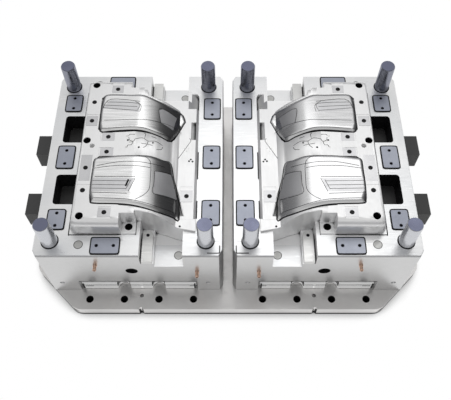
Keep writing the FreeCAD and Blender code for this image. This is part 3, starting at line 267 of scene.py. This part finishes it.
def clamp_plate_steel():
    """Ground plate with painted shade along its foot and on its right and left sides."""
    material = steel("clamp_plate_steel", (0.82, 0.81, 0.80), (0.72, 0.71, 0.70), 0.30, 0.46,
                     (3, 30, 30), 12)
    # Painted shade on the low faces that face right and left
    painted_shade_band(material, -0.01, 0.040, 0.05, 0.006, across=True)
    # Painted shade along the foot
    return painted_shade_band(material, -0.01, 0.013, 0.03)


def pillar_steel():
    """Bright ground sides with slate ends; painted shade makes the pillars at the back darker."""
    material, tree, shader = start_material("pillar_steel")
    shader.inputs["Metallic"].default_value = 1.0
    rings = grain(tree, (2, 2, 60), 12, 6)
    # Painted shade: the sides turn darker towards the back
    side = blended(tree, spread(tree, object_place(tree)["Y"], 0, 1, -0.36, 0.36),
                   (0.60, 0.61, 0.64), (0.27, 0.28, 0.33))
    end = spread(tree, facing(tree)["Z"], 0, 1, 0.5, 0.9)
    tree.links.new(tinted(tree, end, side, (0.17, 0.18, 0.25)), shader.inputs["Base Color"])
    tree.links.new(spread(tree, rings, 0.2, 0.36), shader.inputs["Roughness"])
    add_bump(tree, shader, rings, 0.05, 0.0004)
    return material


def wear_plate_steel():
    return steel("wear_plate_steel", (0.42, 0.44, 0.50), (0.34, 0.36, 0.42), 0.34, 0.5,
                 (30, 30, 4), 10)


def plain_steel():
    return steel("plain_steel", (0.72, 0.72, 0.71), (0.62, 0.62, 0.61), 0.26, 0.42, (2, 30, 30), 12)


def return_pin_steel():
    return steel("return_pin_steel", (0.52, 0.52, 0.51), (0.44, 0.44, 0.43), 0.3, 0.45, (1, 1, 1), 80)


def copper_alloy():
    return steel("copper_alloy", (0.86, 0.60, 0.46), (0.74, 0.48, 0.36), 0.25, 0.4, (2, 60, 2), 20)


def black_screws():
    return steel("black_screws", (0.03, 0.03, 0.035), (0.015, 0.015, 0.02), 0.35, 0.5, (1, 1, 1), 200)


def black_oxide_steel():
    """Matt black oxide on the side cylinders and the slides."""
    material, tree, shader = start_material("black_oxide_steel")
    shader.inputs["Metallic"].default_value = 0.4
    speckle = grain(tree, (1, 1, 1), 180, 6)
    tree.links.new(blended(tree, speckle, (0.055, 0.055, 0.055), (0.085, 0.085, 0.085)),
                   shader.inputs["Base Color"])
    tree.links.new(spread(tree, speckle, 0.45, 0.62), shader.inputs["Roughness"])
    add_bump(tree, shader, speckle, 0.12, 0.0005)
    return material


def shadow_black():
    """Near-black painted shade for deep holes, for gaps round let-in pieces and for dark lines along
    edges and grooves.
    """
    material, tree, shader = start_material("shadow_black")
    shader.inputs["Specular IOR Level"].default_value = 0.15
    smear = grain(tree, (8, 1, 8), 9, 3, 0.5)
    tree.links.new(blended(tree, smear, (0.003, 0.003, 0.003), (0.022, 0.022, 0.024)),
                   shader.inputs["Base Color"])
    tree.links.new(spread(tree, smear, 0.25, 0.5), shader.inputs["Roughness"])
    return material


FINISHES = {
    "ground_block_steel": ground_block_steel(),
    "insert_steel": insert_steel(),
    "polished_core_steel": polished_core_steel(),
    "ejector_plate_steel": ejector_plate_steel(),
    "textured_core_steel": textured_core_steel(),
    "recess_steel": recess_steel(),
    "clamp_plate_steel": clamp_plate_steel(),
    "pillar_steel": pillar_steel(),
    "wear_plate_steel": wear_plate_steel(),
    "plain_steel": plain_steel(),
    "return_pin_steel": return_pin_steel(),
    "copper_alloy": copper_alloy(),
    "black_screws": black_screws(),
    "black_oxide_steel": black_oxide_steel(),
    "shadow_black": shadow_black(),
}


def dress_nodes():
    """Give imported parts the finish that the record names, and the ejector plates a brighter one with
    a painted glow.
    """
    for part in frame["record"]["subparts"]:
        mesh = frame["nodes"][part["node"]].data
        mesh.materials.clear()
        # The ejector plates take the finish with painted light, a weak glow
        bright = part["node"].startswith(("ejector_retainer", "ejector_base"))
        mesh.materials.append(FINISHES["ejector_plate_steel" if bright else part["material_slot"]])


dress_nodes()


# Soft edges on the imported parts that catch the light

EDGED = {
    "core_block": 1.6, "core_insert": 1.2, "wear_plate": 1.0, "guide_pillar": 2.0,
    "base_clamp_plate": 2.0, "side_cylinder": 1.5,
}


def soften_edges():
    """Break the sharp edges of the large steel pieces."""
    for name, node in frame["nodes"].items():
        for start, width in EDGED.items():
            if name.startswith(start):
                weld = node.modifiers.new("weld", "WELD")
                weld.merge_threshold = 0.00002
                edge = node.modifiers.new("edge", "BEVEL")
                edge.width = width * MM
                edge.segments = 2
                edge.limit_method = "ANGLE"
                edge.angle_limit = math.radians(40)
                edge.harden_normals = True


soften_edges()


# Builders for the new pieces

SHARP_ANGLE = math.radians(35)


def plan_box(node):
    """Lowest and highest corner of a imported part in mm."""
    low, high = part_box(node)
    return [value / MM for value in low], [value / MM for value in high]


def finish_piece(shape, name, finish, body=ROOT):
    """Turn a shape into a piece that rides on a body."""
    bmesh.ops.recalc_face_normals(shape, faces=shape.faces)
    mesh = bpy.data.meshes.new(name)
    shape.to_mesh(mesh)
    shape.free()
    piece = bpy.data.objects.new(name, mesh)
    bpy.context.scene.collection.objects.link(piece)
    mesh.materials.append(FINISHES[finish])
    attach(piece, body)
    return piece


def smooth_line(points, steps, closed=False):
    """Points on a smooth line through a list of places."""
    spots = [Vector(spot) for spot in points]
    count = len(spots) if closed else len(spots) - 1
    line = []
    for index in range(count):
        if closed:
            a, b, c, d = (spots[(index + k - 1) % len(spots)] for k in range(4))
        else:
            a, b = spots[max(index - 1, 0)], spots[index]
            c, d = spots[index + 1], spots[min(index + 2, len(spots) - 1)]
        for step in range(steps):
            s = step / steps
            line.append(0.5 * ((2 * b) + (c - a) * s + (2 * a - 5 * b + 4 * c - d) * s * s
                               + (3 * b - a - 3 * c + d) * s ** 3))
    if not closed:
        line.append(spots[-1])
    return line


def add_band(shape, points, width, level, steps=4, closed=False, thick=0.5):
    """Thin band of a width in mm along plan places in mm; level gives the height at a place."""
    line = smooth_line(points, steps, closed)
    count = len(line) if closed else len(line) - 1
    made = bmesh.ops.create_grid(shape, x_segments=count, y_segments=1, size=1)["verts"]
    for vert in made:
        index = round((vert.co.x + 1) / 2 * count)
        here = line[index % len(line)]
        if closed:
            along = line[(index + 1) % len(line)] - line[(index - 1) % len(line)]
        else:
            along = line[min(index + 1, count)] - line[max(index - 1, 0)]
        across = Vector((-along.y, along.x)).normalized() * (width / 2)
        spot = here + across * (1 if vert.co.y > 0 else -1)
        vert.co = (spot.x * MM, spot.y * MM, (level(spot.x, spot.y) - thick / 2) * MM)
    faces = list({face for vert in made for face in vert.link_faces})
    raised = bmesh.ops.extrude_face_region(shape, geom=faces)["geom"]
    lifted = [item for item in raised if isinstance(item, bmesh.types.BMVert)]
    bmesh.ops.translate(shape, vec=(0, 0, thick * MM), verts=lifted)


def add_bore(shape, spot, radius, depth, axis="Z", floor=True):
    """Sheet on the wall of a hole, for painted shade: its mouth is at a place and it runs down, or in
    along Y either way.
    """
    made = bmesh.ops.create_cone(shape, cap_ends=floor, segments=32, radius1=radius * MM,
                                 radius2=radius * MM, depth=depth * MM)["verts"]
    bmesh.ops.translate(shape, vec=(0, 0, -depth / 2 * MM), verts=made)
    if floor:
        mouth = [face for face in {f for v in made for f in v.link_faces}
                 if all(abs(v.co.z) < 1e-6 for v in face.verts)]
        bmesh.ops.delete(shape, geom=mouth, context="FACES_ONLY")
    wall = list({f for v in made for f in v.link_faces})
    turn = {"Z": Matrix(), "Y": Matrix.Rotation(math.radians(90), 4, "X"),
            "-Y": Matrix.Rotation(math.radians(-90), 4, "X")}[axis]
    bmesh.ops.rotate(shape, cent=(0, 0, 0), matrix=turn, verts=made)
    bmesh.ops.translate(shape, vec=[value * MM for value in spot], verts=made)
    bmesh.ops.recalc_face_normals(shape, faces=wall)
    bmesh.ops.solidify(shape, geom=wall, thickness=0.5 * MM)


def add_well(shape, low, high, corner, depth, top):
    """Sheet on the wall of a pocket with rounded corners, for painted shade, given by its plan corners
    and depth.
    """
    made = bmesh.ops.create_grid(shape, x_segments=1, y_segments=1, size=1)["verts"]
    for vert in made:
        vert.co = ((low[0] if vert.co.x < 0 else high[0]) * MM,
                   (low[1] if vert.co.y < 0 else high[1]) * MM, (top - depth) * MM)
    rounded = bmesh.ops.bevel(shape, geom=made, offset=corner * MM, offset_type="OFFSET",
                              segments=6, profile=0.5, affect="VERTICES", material=-1)
    face = rounded["verts"][0].link_faces[0]
    raised = bmesh.ops.extrude_face_region(shape, geom=[face])["geom"]
    lifted = [item for item in raised if isinstance(item, bmesh.types.BMVert)]
    bmesh.ops.translate(shape, vec=(0, 0, depth * MM), verts=lifted)
    caps = [item for item in raised if isinstance(item, bmesh.types.BMFace)] + [face]
    wall = list({f for v in lifted for f in v.link_faces} - set(caps))
    bmesh.ops.delete(shape, geom=[f for f in caps if f.is_valid], context="FACES_ONLY")
    bmesh.ops.solidify(shape, geom=wall, thickness=0.5 * MM)


def rounded_places(low, high, corner):
    """Places round a rectangle with rounded corners, for a closed smooth line."""
    cut = corner * 0.3
    (x0, y0), (x1, y1) = low, high
    return [(x0 + corner, y0), (x1 - corner, y0), (x1 - cut, y0 + cut), (x1, y0 + corner),
            (x1, y1 - corner), (x1 - cut, y1 - cut), (x1 - corner, y1), (x0 + corner, y1),
            (x0 + cut, y1 - cut), (x0, y1 - corner), (x0, y0 + corner), (x0 + cut, y0 + cut)]


def ring_places(x, y, radius):
    """Places round a circle."""
    return [(x + radius * math.cos(k * math.pi / 8), y + radius * math.sin(k * math.pi / 8))
            for k in range(16)]


def add_strip(shape, low, high):
    """Thin flat bar between two corners in mm."""
    middle = Vector([(a + b) / 2 * MM for a, b in zip(low, high)])
    scale = Matrix.Diagonal([abs(b - a) * MM for a, b in zip(low, high)] + [1])
    bmesh.ops.create_cube(shape, size=1, matrix=Matrix.Translation(middle) @ scale)


def add_drape(shape, line, low, high, cell, rim=()):
    """Solid with a plan outline between two heights, cut in cells so that it follows both."""
    ring = bmesh.ops.create_circle(shape, cap_ends=True, segments=len(line), radius=1)["verts"]
    ring.sort(key=lambda vert: math.atan2(vert.co.y, vert.co.x))
    for vert, spot in zip(ring, line):
        vert.co = (spot.x * MM, spot.y * MM, 0)
    for width in rim:
        inner = [face for face in shape.faces if len(face.verts) > 4]
        bmesh.ops.inset_region(shape, faces=inner, thickness=width * MM, use_even_offset=True)
    for axis in (0, 1):
        values = [spot[axis] for spot in line]
        place = math.ceil(min(values) / cell) * cell
        while place < max(values):
            plane = Vector((0, 0, 0))
            plane[axis] = 1
            geometry = list(shape.verts) + list(shape.edges) + list(shape.faces)
            bmesh.ops.bisect_plane(shape, geom=geometry, dist=1e-7, plane_co=plane * place * MM,
                                   plane_no=plane)
            place += cell
    under = list(shape.verts)
    raised = bmesh.ops.extrude_face_region(shape, geom=list(shape.faces))["geom"]
    over = [item for item in raised if isinstance(item, bmesh.types.BMVert)]
    for verts, level in ((under, low), (over, high)):
        for vert in verts:
            vert.co.z = level(vert.co.x / MM, vert.co.y / MM) * MM


def add_dot(shape, x, y, level, radius):
    """Thin round plate at a place in mm."""
    bmesh.ops.create_cone(shape, cap_ends=True, segments=24, radius1=radius * MM,
                          radius2=radius * MM, depth=0.5 * MM,
                          matrix=Matrix.Translation((x * MM, y * MM, level * MM)))


def shade_smooth(shape):
    """Smooth shading, apart from edges above an angle."""
    bmesh.ops.recalc_face_normals(shape, faces=shape.faces)
    for face in shape.faces:
        face.smooth = True
    for edge in shape.edges:
        if edge.is_manifold and edge.calc_face_angle() > SHARP_ANGLE:
            edge.smooth = False


# Painted shade: dark linings of the holes and pockets

# Plan places of the right half in mm; the left half mirrors them
CLAMP_HOLES = [142.5, 285, 427.5, 570]
CLAMP_ROW = 481
CLAMP_RADIUS = 15.4
CLAMP_DEPTH = 54
LIFT_HOLES = [(551, 312.5), (551, -312.5), (560, 29)]
PAD_HOLE = (377.5, -317)
LIFT_RADIUS = 14.9
LIFT_DEPTH = 50
EYEBOLT_HOLE = (376, 437, 244)
EYEBOLT_RADIUS = 23.8
EYEBOLT_DEPTH = 66
WINDOW_SPAN = (603, 684.6)
WINDOW_MIDDLE = 147
WINDOW_HALF = 68
WINDOW_CORNER = 14
WINDOW_DEPTH = 86
INSERT_SCREWS = [(551, 222), (551, 126), (551, -101), (551, -202), (460, 291), (460, -298),
                 (477, 46), (477, -26), (162, -186)]
SCREW_RADIUS = 9.4
SCREW_DEPTH = 9

# The insert's top: the land, an arc of this radius from its edge, then the low land
SLOPE_RADIUS = 239
SLOPE_START = 372
SLOPE_END = 200


def surface(x):
    """Height of the insert's top at a place in mm."""
    down = SLOPE_START - min(max(abs(x), SLOPE_END), SLOPE_START)
    return LAND - SLOPE_RADIUS + math.sqrt(SLOPE_RADIUS ** 2 - down ** 2)


def line_holes():
    """Painted shade: dark sheets on the walls of the clamp, lifting, screw and eyebolt holes and of the
    slide windows.
    """
    for side, sx in SIDES.items():
        shape = bmesh.new()
        for x in CLAMP_HOLES:
            for y in (-CLAMP_ROW, CLAMP_ROW):
                add_bore(shape, (x * sx, y, PLATE_TOP - 0.5), CLAMP_RADIUS, CLAMP_DEPTH, floor=False)
        for x, y in LIFT_HOLES:
            add_bore(shape, (x * sx, y, LAND - 4), LIFT_RADIUS, LIFT_DEPTH)
        add_bore(shape, (PAD_HOLE[0] * sx, PAD_HOLE[1], PARTING + 4), LIFT_RADIUS, LIFT_DEPTH)
        for sy, axis in ((-1, "Y"), (1, "-Y")):
            x, y, z = EYEBOLT_HOLE
            add_bore(shape, (x * sx, y * sy, z), EYEBOLT_RADIUS, EYEBOLT_DEPTH, axis)
            inner, outer = sorted(x * sx for x in WINDOW_SPAN)
            middle = WINDOW_MIDDLE * sy
            add_well(shape, (inner, middle - WINDOW_HALF), (outer, middle + WINDOW_HALF),
                     WINDOW_CORNER, WINDOW_DEPTH, PARTING - 0.6)
        for x, y in INSERT_SCREWS:
            add_bore(shape, (x * sx, y, surface(x) - 0.6), SCREW_RADIUS, SCREW_DEPTH)
        finish_piece(shape, "hole_shade_linings_" + side, "shadow_black")


line_holes()


# Painted shade in the gaps round the let-in pieces

PILLAR_COLUMNS = [84, 671]
PILLAR_ROWS = [-375.5, 375.5]
PILLAR_RING = 32
PLATE_CORNER = 10


def gap_lines():
    """Thin dark lines of painted shade in the gaps round the wear plates and the pillars."""
    for side, sx in SIDES.items():
        shape = bmesh.new()
        for name in frame["nodes"]:
            if name.startswith("wear_plate") and name.endswith(side):
                low, high = plan_box(name)
                add_band(shape, rounded_places(low[:2], high[:2], PLATE_CORNER), 4.5,
                         lambda x, y: max(PARTING, high[2]) + 0.2, 3, closed=True)
        for x in PILLAR_COLUMNS:
            for y in PILLAR_ROWS:
                add_band(shape, ring_places(x * sx, y, PILLAR_RING), 4,
                         lambda x, y: PARTING + 0.1, 3, closed=True)
        finish_piece(shape, "gap_lines_" + side, "shadow_black")


# Painted shade on the ends of the ejector plates in the front and back slots of the blocks, and along
# the slots' tops
NOTCH_PLACES = [285, 427.5]
NOTCH_LINE = 433.5
NOTCH_REACH = 26.2
PRY_PLACES = [142.5, 570]
PRY_HALF = (16, 3)
SEAM_HALF = 1
END_GAP = 7
UPPER_LINE = 12
SLOT_FRONT = plan_box("core_block_right")[1][1]
SLOT_TOP = 138
SLOT_PAST = 6


def notch_line(x, sx, sy):
    """Places along the half round notch of an ejector plate."""
    turns = [k * math.pi / 10 for k in range(11)]
    return [(x * sx + NOTCH_REACH * math.cos(turn), (NOTCH_LINE - NOTCH_REACH * math.sin(turn)) * sy)
            for turn in turns]


def ejector_lines():
    """Painted shade as dark strips on the ejector plates' seam, end gaps, pry slots and notches, and
    along the slots' top rims.
    """
    for side, sx in SIDES.items():
        low, high = plan_box("ejector_retainer_plate_" + side)
        foot = plan_box("ejector_base_plate_" + side)[0][2]
        seam = low[2]
        upper = seam + UPPER_LINE
        wide, tall = PRY_HALF
        shape, rim_shade = bmesh.new(), bmesh.new()
        for sy in (-1, 1):
            face = high[1] * sy
            past = face + 0.5 * sy
            add_strip(shape, (low[0], face, seam - SEAM_HALF), (high[0], past, seam + SEAM_HALF))
            add_strip(shape, (low[0], face, upper), (high[0], past, upper + SEAM_HALF * 2))
            for x in (low[0], high[0] - END_GAP):
                add_strip(shape, (x, face, foot), (x + END_GAP, past, high[2]))
            for x in PRY_PLACES:
                add_strip(shape, (x * sx - wide, face, seam - tall), (x * sx + wide, past, seam + tall))
            for x in NOTCH_PLACES:
                for level in (seam, upper, high[2] - 2.5):
                    add_band(shape, notch_line(x, sx, sy), 1.6, lambda x, y: level, 3, thick=4)
            add_strip(rim_shade, (low[0] - SLOT_PAST, SLOT_FRONT * sy, SLOT_TOP),
                      (high[0] + SLOT_PAST, (SLOT_FRONT + 0.4) * sy, SLOT_TOP + 3.5))
        finish_piece(shape, "ejector_lines_" + side, "shadow_black",
                     "ejector_set_" + side)
        finish_piece(rim_shade, "slot_rim_shade_" + side, "shadow_black")


gap_lines()
ejector_lines()


# Panel cores, with lines of painted shade along the bends of the part that they form

CORE_EDGE = 519
SEAT = 350
CORE_RISE = 6
CORE_FRONT = {"lower": -251, "upper": 68}

# Outline, bends and marks of each core: inwards from its outer edge, and back from its front
CORE_OUTLINE = {
    "lower": [(0, 187), (24, 195), (94, 204), (164, 206), (217, 208), (263, 201), (291, 200),
              (304, 140), (322, 62), (332, -38), (310, -36), (261, -34), (202, -24), (143, -14),
              (83, -10), (15, -8), (2, 5), (-3, 76), (-2, 148)],
    "upper": [(339, 110), (321, 149), (273, 157), (216, 173), (166, 190), (116, 190), (66, 192),
              (16, 190), (5, 165), (2, 112), (3, 61), (7, 5), (51, 6), (114, 11), (170, 10),
              (210, 2), (249, -7), (288, -13), (316, 53), (335, 97)],
}
FIELDS = {
    "lower": [(236, 141), (295, 145), (311, 92), (320, 45), (237, 41)],
    "upper": [(306, 113), (250, 131), (235, 120), (246, 60), (294, 42), (300, 80)],
}
RECESSES = {
    "lower": [(3, 101), (162, 99), (143, 42), (3, 40)],
    "upper": [(154, 152), (36, 163), (7, 118), (158, 99)],
}
# Lines of painted shade along the bends, steps and edges of each core
LINES = {
    "lower": [
        [(164, 206), (199, 199), (218, 174), (221, 101), (219, 56), (199, 26), (171, 6)],
        [(4, 144), (82, 156), (160, 156), (217, 153)],
        [(272, 171), (219, 172), (166, 175), (96, 174), (0, 153)],
        [(9, 106), (164, 106)],
        [(165, 99), (143, 40)], [(150, 92), (133, 50)],
        [(3, 88), (147, 86)], [(3, 70), (140, 68)], [(3, 54), (134, 52)],
        [(7, 36), (139, 31)],
        [(236, 141), (295, 145), (311, 92), (320, 45), (237, 41), (236, 90), (236, 141)],
        [(318, -16), (261, -14), (202, -4), (143, 6), (83, 10), (15, 12)],
    ],
    "upper": [
        [(326, 45), (293, 58), (238, 60), (191, 62), (110, 59), (5, 56)],
        [(306, 113), (250, 131), (235, 120), (246, 60)],
        [(156, 154), (36, 165), (7, 118)],
        [(136, 154), (162, 134), (160, 102)],
        [(20, 150), (148, 143), (150, 110)], [(10, 134), (147, 126)], [(8, 120), (150, 106)],
        [(288, 2), (249, 6), (210, 14), (170, 22), (114, 23), (51, 18), (12, 16)],
    ],
}
SLOT_MARK = [(140, 93), (131, 63)]

# How the top falls away at a core's edge, and more so near its front
EDGE_REACH, EDGE_DROP = 8, 3
FRONT_REACH, FRONT_DROP = 12, 5
FRONT_START, FRONT_FADE = 45, 30
CORE_LINE = 1.7
CORE_GAP = 6
SLOT_WIDTH = 7


def core_places(places, core, sx):
    """Plan places in mm from places measured from a core's edges."""
    return [((CORE_EDGE - inward) * sx, CORE_FRONT[core] + back) for inward, back in places]


def gap_to(line, x, y):
    """Distance from a place to a closed line of places."""
    spot = Vector((x, y))
    nearest = 1e9
    for start, end in zip(line, line[1:] + line[:1]):
        along = end - start
        share = min(max((spot - start).dot(along) / along.length_squared, 0), 1)
        nearest = min(nearest, (spot - start - along * share).length)
    return nearest


def core_level(core, line):
    """Top of a core: it follows the insert's top and falls away at its own edge."""
    front = CORE_FRONT[core]

    def level(x, y):
        near = min(max((front + FRONT_START - y) / FRONT_FADE, 0), 1)
        reach, drop = EDGE_REACH + FRONT_REACH * near, EDGE_DROP + FRONT_DROP * near
        past = max(0, 1 - gap_to(line, x, y) / reach)
        return surface(x) + CORE_RISE - drop * past ** 2
    return level


def core_shell(name, line, level):
    """Smooth solid of a core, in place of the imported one."""
    shape = bmesh.new()
    add_drape(shape, line, lambda x, y: SEAT, level, 5, (3, 5))
    shade_smooth(shape)
    piece = finish_piece(shape, name + "_shell", "polished_core_steel")
    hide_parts(name)


def core_patch(name, places, level, finish):
    """Thin face of another finish on a core's top."""
    patch = bmesh.new()
    corners = [Vector(spot) for spot in places]
    add_drape(patch, corners, lambda x, y: level(x, y) - 1, lambda x, y: level(x, y) + 0.25, 8)
    finish_piece(patch, name, finish)


def core_marks(name, core, side, line, level):
    """Painted shade on a core: dark lines along its bends, the gap round it, and the slot of the left
    lower one.
    """
    sx = SIDES[side]
    marks = bmesh.new()
    for places in LINES[core]:
        add_band(marks, core_places(places, core, sx), CORE_LINE,
                 lambda x, y: level(x, y) + 0.3, 4, thick=0.6)
    add_band(marks, line[::3], CORE_GAP, lambda x, y: surface(x) + 0.2, 3, closed=True)
    if (core, side) == ("lower", "left"):
        add_band(marks, core_places(SLOT_MARK, core, sx), SLOT_WIDTH,
                 lambda x, y: level(x, y) + 0.5, 4)
    finish_piece(marks, name, "shadow_black")


def panel_cores():
    """The four cores with their smooth fields, recesses and lines of painted shade."""
    for side, sx in SIDES.items():
        for core, outline in CORE_OUTLINE.items():
            name = "%s_panel_core_%s" % (core, side)
            line = smooth_line(core_places(outline, core, sx), 3, True)
            level = core_level(core, line)
            core_shell(name, line, level)
            core_patch(name + "_field", core_places(FIELDS[core], core, sx), level,
                       "textured_core_steel")
            core_patch(name + "_recess", core_places(RECESSES[core], core, sx), level,
                       "recess_steel")
            core_marks(name + "_lines", core, side, line, level)


panel_cores()


# Brow of the insert over the front channel, the contact faces, and the marks of painted shade on the
# insert

BROW = [(334, -287), (334, -289.5), (287, -292), (236, -307), (215, -316), (187, -326), (124, -338),
        (124, -287)]
CHANNEL_FLOOR = 286

# Square contact faces: their middle and their half width and depth
CONTACTS = [
    (477, 46, 26, 20), (477, -26, 26, 20), (162, -186, 24, 26), (460, -298, 24, 20),
    (551, 126, 22, 24), (551, -101, 22, 60), (460, 291, 24, 20),
]
RETURN_RINGS = [(562, -390, PARTING), (562, 390, PARTING), (192, -390, 285), (192, 390, 285)]
BLIND_MARKS = [(150, -14), (157, -22), (143, -24), (183, -319), (300, 25), (398, 30), (352, -4)]
RUNNERS = [
    [(262, 22), (290, 34), (318, 30), (340, 42), (369, 36)], [(261, 15), (266, 2), (284, -4)],
    [(318, 30), (322, 10), (335, -5)], [(332, 44), (330, 62), (336, 66)],
    [(369, 36), (377, 24), (391, 30), (395, 44)], [(372, 58), (391, 58), (396, 52)],
    [(377, 24), (382, 8), (395, 6), (399, -4)], [(300, 12), (345, 16)], [(286, 50), (306, 54)],
    [(152, 77), (201, -9)], [(152, 77), (158, 92)],
]

# Lines of painted shade along the foot of the insert and of the block's corner, and sizes of the marks
# in mm
FOOT_LINES = [
    [(604, -78), (604, 78)], [(604, 216), (604, 343)], [(350, -349), (350, -294)],
    [(406, -346), (420, -349)], [(121, -100), (121, 30)], [(121, -280), (121, -200)],
    [(604, -216), (604, -340), (598, -348.5), (560, -349), (420, -349)],
    [(31, -394), (31, -422), (34, -425), (78, -425)],
]
RUNNER_WIDTH = 1.8
FOOT_WIDTH = 4
PIN_RING = 16.5
SCREW_DOT = 9.2
BLIND_DOT = 4


def insert_brow(side, sx):
    """Steel of the insert that stands out over the start of the front channel."""
    shape = bmesh.new()
    line = [Vector((x * sx, y)) for x, y in BROW]
    add_drape(shape, line, lambda x, y: CHANNEL_FLOOR, lambda x, y: surface(x) - 0.3, 8)
    shade_smooth(shape)
    finish_piece(shape, "insert_brow_" + side, "insert_steel")


def contact_faces(side, sx):
    """Thin ground squares on the insert, most of them round its screws."""
    for index, (x, y, wide, deep) in enumerate(CONTACTS):
        patch = bmesh.new()
        corners = [(-1, -1), (1, -1), (1, 1), (-1, 1)]
        spots = [Vector((x * sx + a * wide, y + b * deep)) for a, b in corners]
        add_drape(patch, spots, lambda x, y: surface(x) - 1, lambda x, y: surface(x) + 0.15, 20)
        finish_piece(patch, "contact_face_%d_%s" % (index, side), "recess_steel")


def insert_lines(side, sx):
    """Painted shade on an insert and its block: dark rings round the pins, dots in the screw and blind
    holes, runner lines and foot lines.
    """
    lines = bmesh.new()
    for x, y, level in RETURN_RINGS:
        add_band(lines, ring_places(x * sx, y, PIN_RING), 2, lambda x, y: level + 0.1, 2,
                 closed=True)
    for spots, radius in ((INSERT_SCREWS, SCREW_DOT), (BLIND_MARKS, BLIND_DOT)):
        for x, y in spots:
            add_dot(lines, x * sx, y, surface(x) + 0.3, radius)
    for places in RUNNERS:
        add_band(lines, [(x * sx, y) for x, y in places], RUNNER_WIDTH,
                 lambda x, y: surface(x) + 0.15, 6)
    for places in FOOT_LINES:
        add_band(lines, [(x * sx, y) for x, y in places], FOOT_WIDTH,
                 lambda x, y: PARTING + 0.1, 4)
    finish_piece(lines, "insert_lines_" + side, "shadow_black")


def insert_marks():
    """Everything that the two inserts gain."""
    for side, sx in SIDES.items():
        insert_brow(side, sx)
        contact_faces(side, sx)
        insert_lines(side, sx)


insert_marks()


# Floor, light and camera

def floor():
    """Pale floor that glows white to camera, glossy and transmission rays, with painted shade from
    ambient occlusion near the object, and is plain to everything else.
    """
    shape = bmesh.new()
    bmesh.ops.create_grid(shape, x_segments=1, y_segments=1, size=12)
    mesh = bpy.data.meshes.new("floor")
    shape.to_mesh(mesh)
    shape.free()
    ground = bpy.data.objects.new("floor", mesh)
    bpy.context.scene.collection.objects.link(ground)
    ground.location.z = -0.0005
    material, tree, shader = start_material("floor_white")
    shader.inputs["Base Color"].default_value = (0.8, 0.8, 0.8, 1)
    shader.inputs["Roughness"].default_value = 0.9
    path = tree.nodes.new("ShaderNodeLightPath")
    glow = tree.nodes.new("ShaderNodeEmission")
    # Painted shade on the floor: its glow dims where ambient occlusion finds the object near
    shade = tree.nodes.new("ShaderNodeAmbientOcclusion")
    shade.inputs["Distance"].default_value = 0.12
    tree.links.new(spread(tree, shade.outputs["AO"], 0, 1, 0.25, 0.75), glow.inputs["Strength"])
    seen = calculated(tree, "MAXIMUM", path.outputs["Is Camera Ray"], path.outputs["Is Glossy Ray"])
    seen = calculated(tree, "MAXIMUM", seen, path.outputs["Is Transmission Ray"])
    mix = tree.nodes.new("ShaderNodeMixShader")
    tree.links.new(seen, mix.inputs["Fac"])
    tree.links.new(shader.outputs["BSDF"], mix.inputs[1])
    tree.links.new(glow.outputs["Emission"], mix.inputs[2])
    tree.links.new(mix.outputs["Shader"], tree.nodes["Material Output"].inputs["Surface"])
    mesh.materials.append(material)


# Brightness of the dome by the sine of the height above the horizon
DOME = [
    (0.20, (0.26, 0.26, 0.27)),
    (0.55, (0.40, 0.40, 0.41)),
    (0.70, (0.93, 0.93, 0.93)),
    (0.80, (0.90, 0.90, 0.90)),
    (0.90, (0.68, 0.68, 0.68)),
    (1.00, (0.58, 0.58, 0.58)),
]


def studio_light():
    """Pale dome, brightest half way up, dim at the horizon and the sides, and one soft lamp."""
    world = bpy.data.worlds.new("studio")
    bpy.context.scene.world = world
    world.use_nodes = True
    tree = world.node_tree
    dome = tree.nodes["Background"]
    way = split_up(tree, tree.nodes.new("ShaderNodeTexCoord").outputs["Generated"])
    ramp = tree.nodes.new("ShaderNodeValToRGB")
    stops = ramp.color_ramp.elements
    stops[0].position, stops[0].color = DOME[0][0], (*DOME[0][1], 1)
    stops[1].position, stops[1].color = DOME[-1][0], (*DOME[-1][1], 1)
    for height, colour in DOME[1:-1]:
        stops.new(height).color = (*colour, 1)
    tree.links.new(way["Z"], ramp.inputs["Fac"])
    tree.links.new(ramp.outputs["Color"], dome.inputs["Color"])
    sides = calculated(tree, "MULTIPLY", spread(tree, way["X"], 1, 0.5, 0.30, 0.60),
                       spread(tree, way["X"], 1, 0.75, -0.35, -0.65))
    tree.links.new(sides, dome.inputs["Strength"])
    plain = tree.nodes.new("ShaderNodeBackground")
    path = tree.nodes.new("ShaderNodeLightPath")
    mix = tree.nodes.new("ShaderNodeMixShader")
    tree.links.new(path.outputs["Is Camera Ray"], mix.inputs["Fac"])
    tree.links.new(dome.outputs["Background"], mix.inputs[1])
    plain.inputs["Color"].default_value = (1, 1, 1, 1)
    tree.links.new(plain.outputs["Background"], mix.inputs[2])
    tree.links.new(mix.outputs["Shader"], tree.nodes["World Output"].inputs["Surface"])

    lamp = bpy.data.lights.new("softbox", "AREA")
    lamp.shape = "RECTANGLE"
    lamp.size, lamp.size_y = 2.4, 1.6
    lamp.energy = 12
    box = bpy.data.objects.new("softbox", lamp)
    box.location = (0.4, 1.2, 3.2)
    box.rotation_euler = (Vector((0, 0, 0.3)) - box.location).to_track_quat("-Z", "Y").to_euler()
    bpy.context.scene.collection.objects.link(box)


def camera():
    """Camera at the photograph's height, pitch and framing."""
    data = bpy.data.cameras.new("camera")
    data.sensor_width = 36
    data.lens = 49.17
    data.shift_x = -0.0055
    data.shift_y = -0.0018
    eye = bpy.data.objects.new("camera", data)
    eye.location = (0, -1.408, 2.460)
    eye.rotation_euler = (math.radians(30.3), 0, 0)
    bpy.context.scene.collection.objects.link(eye)
    bpy.context.scene.camera = eye


floor()
studio_light()
camera()
bpy.context.scene.view_settings.view_transform = "Standard"
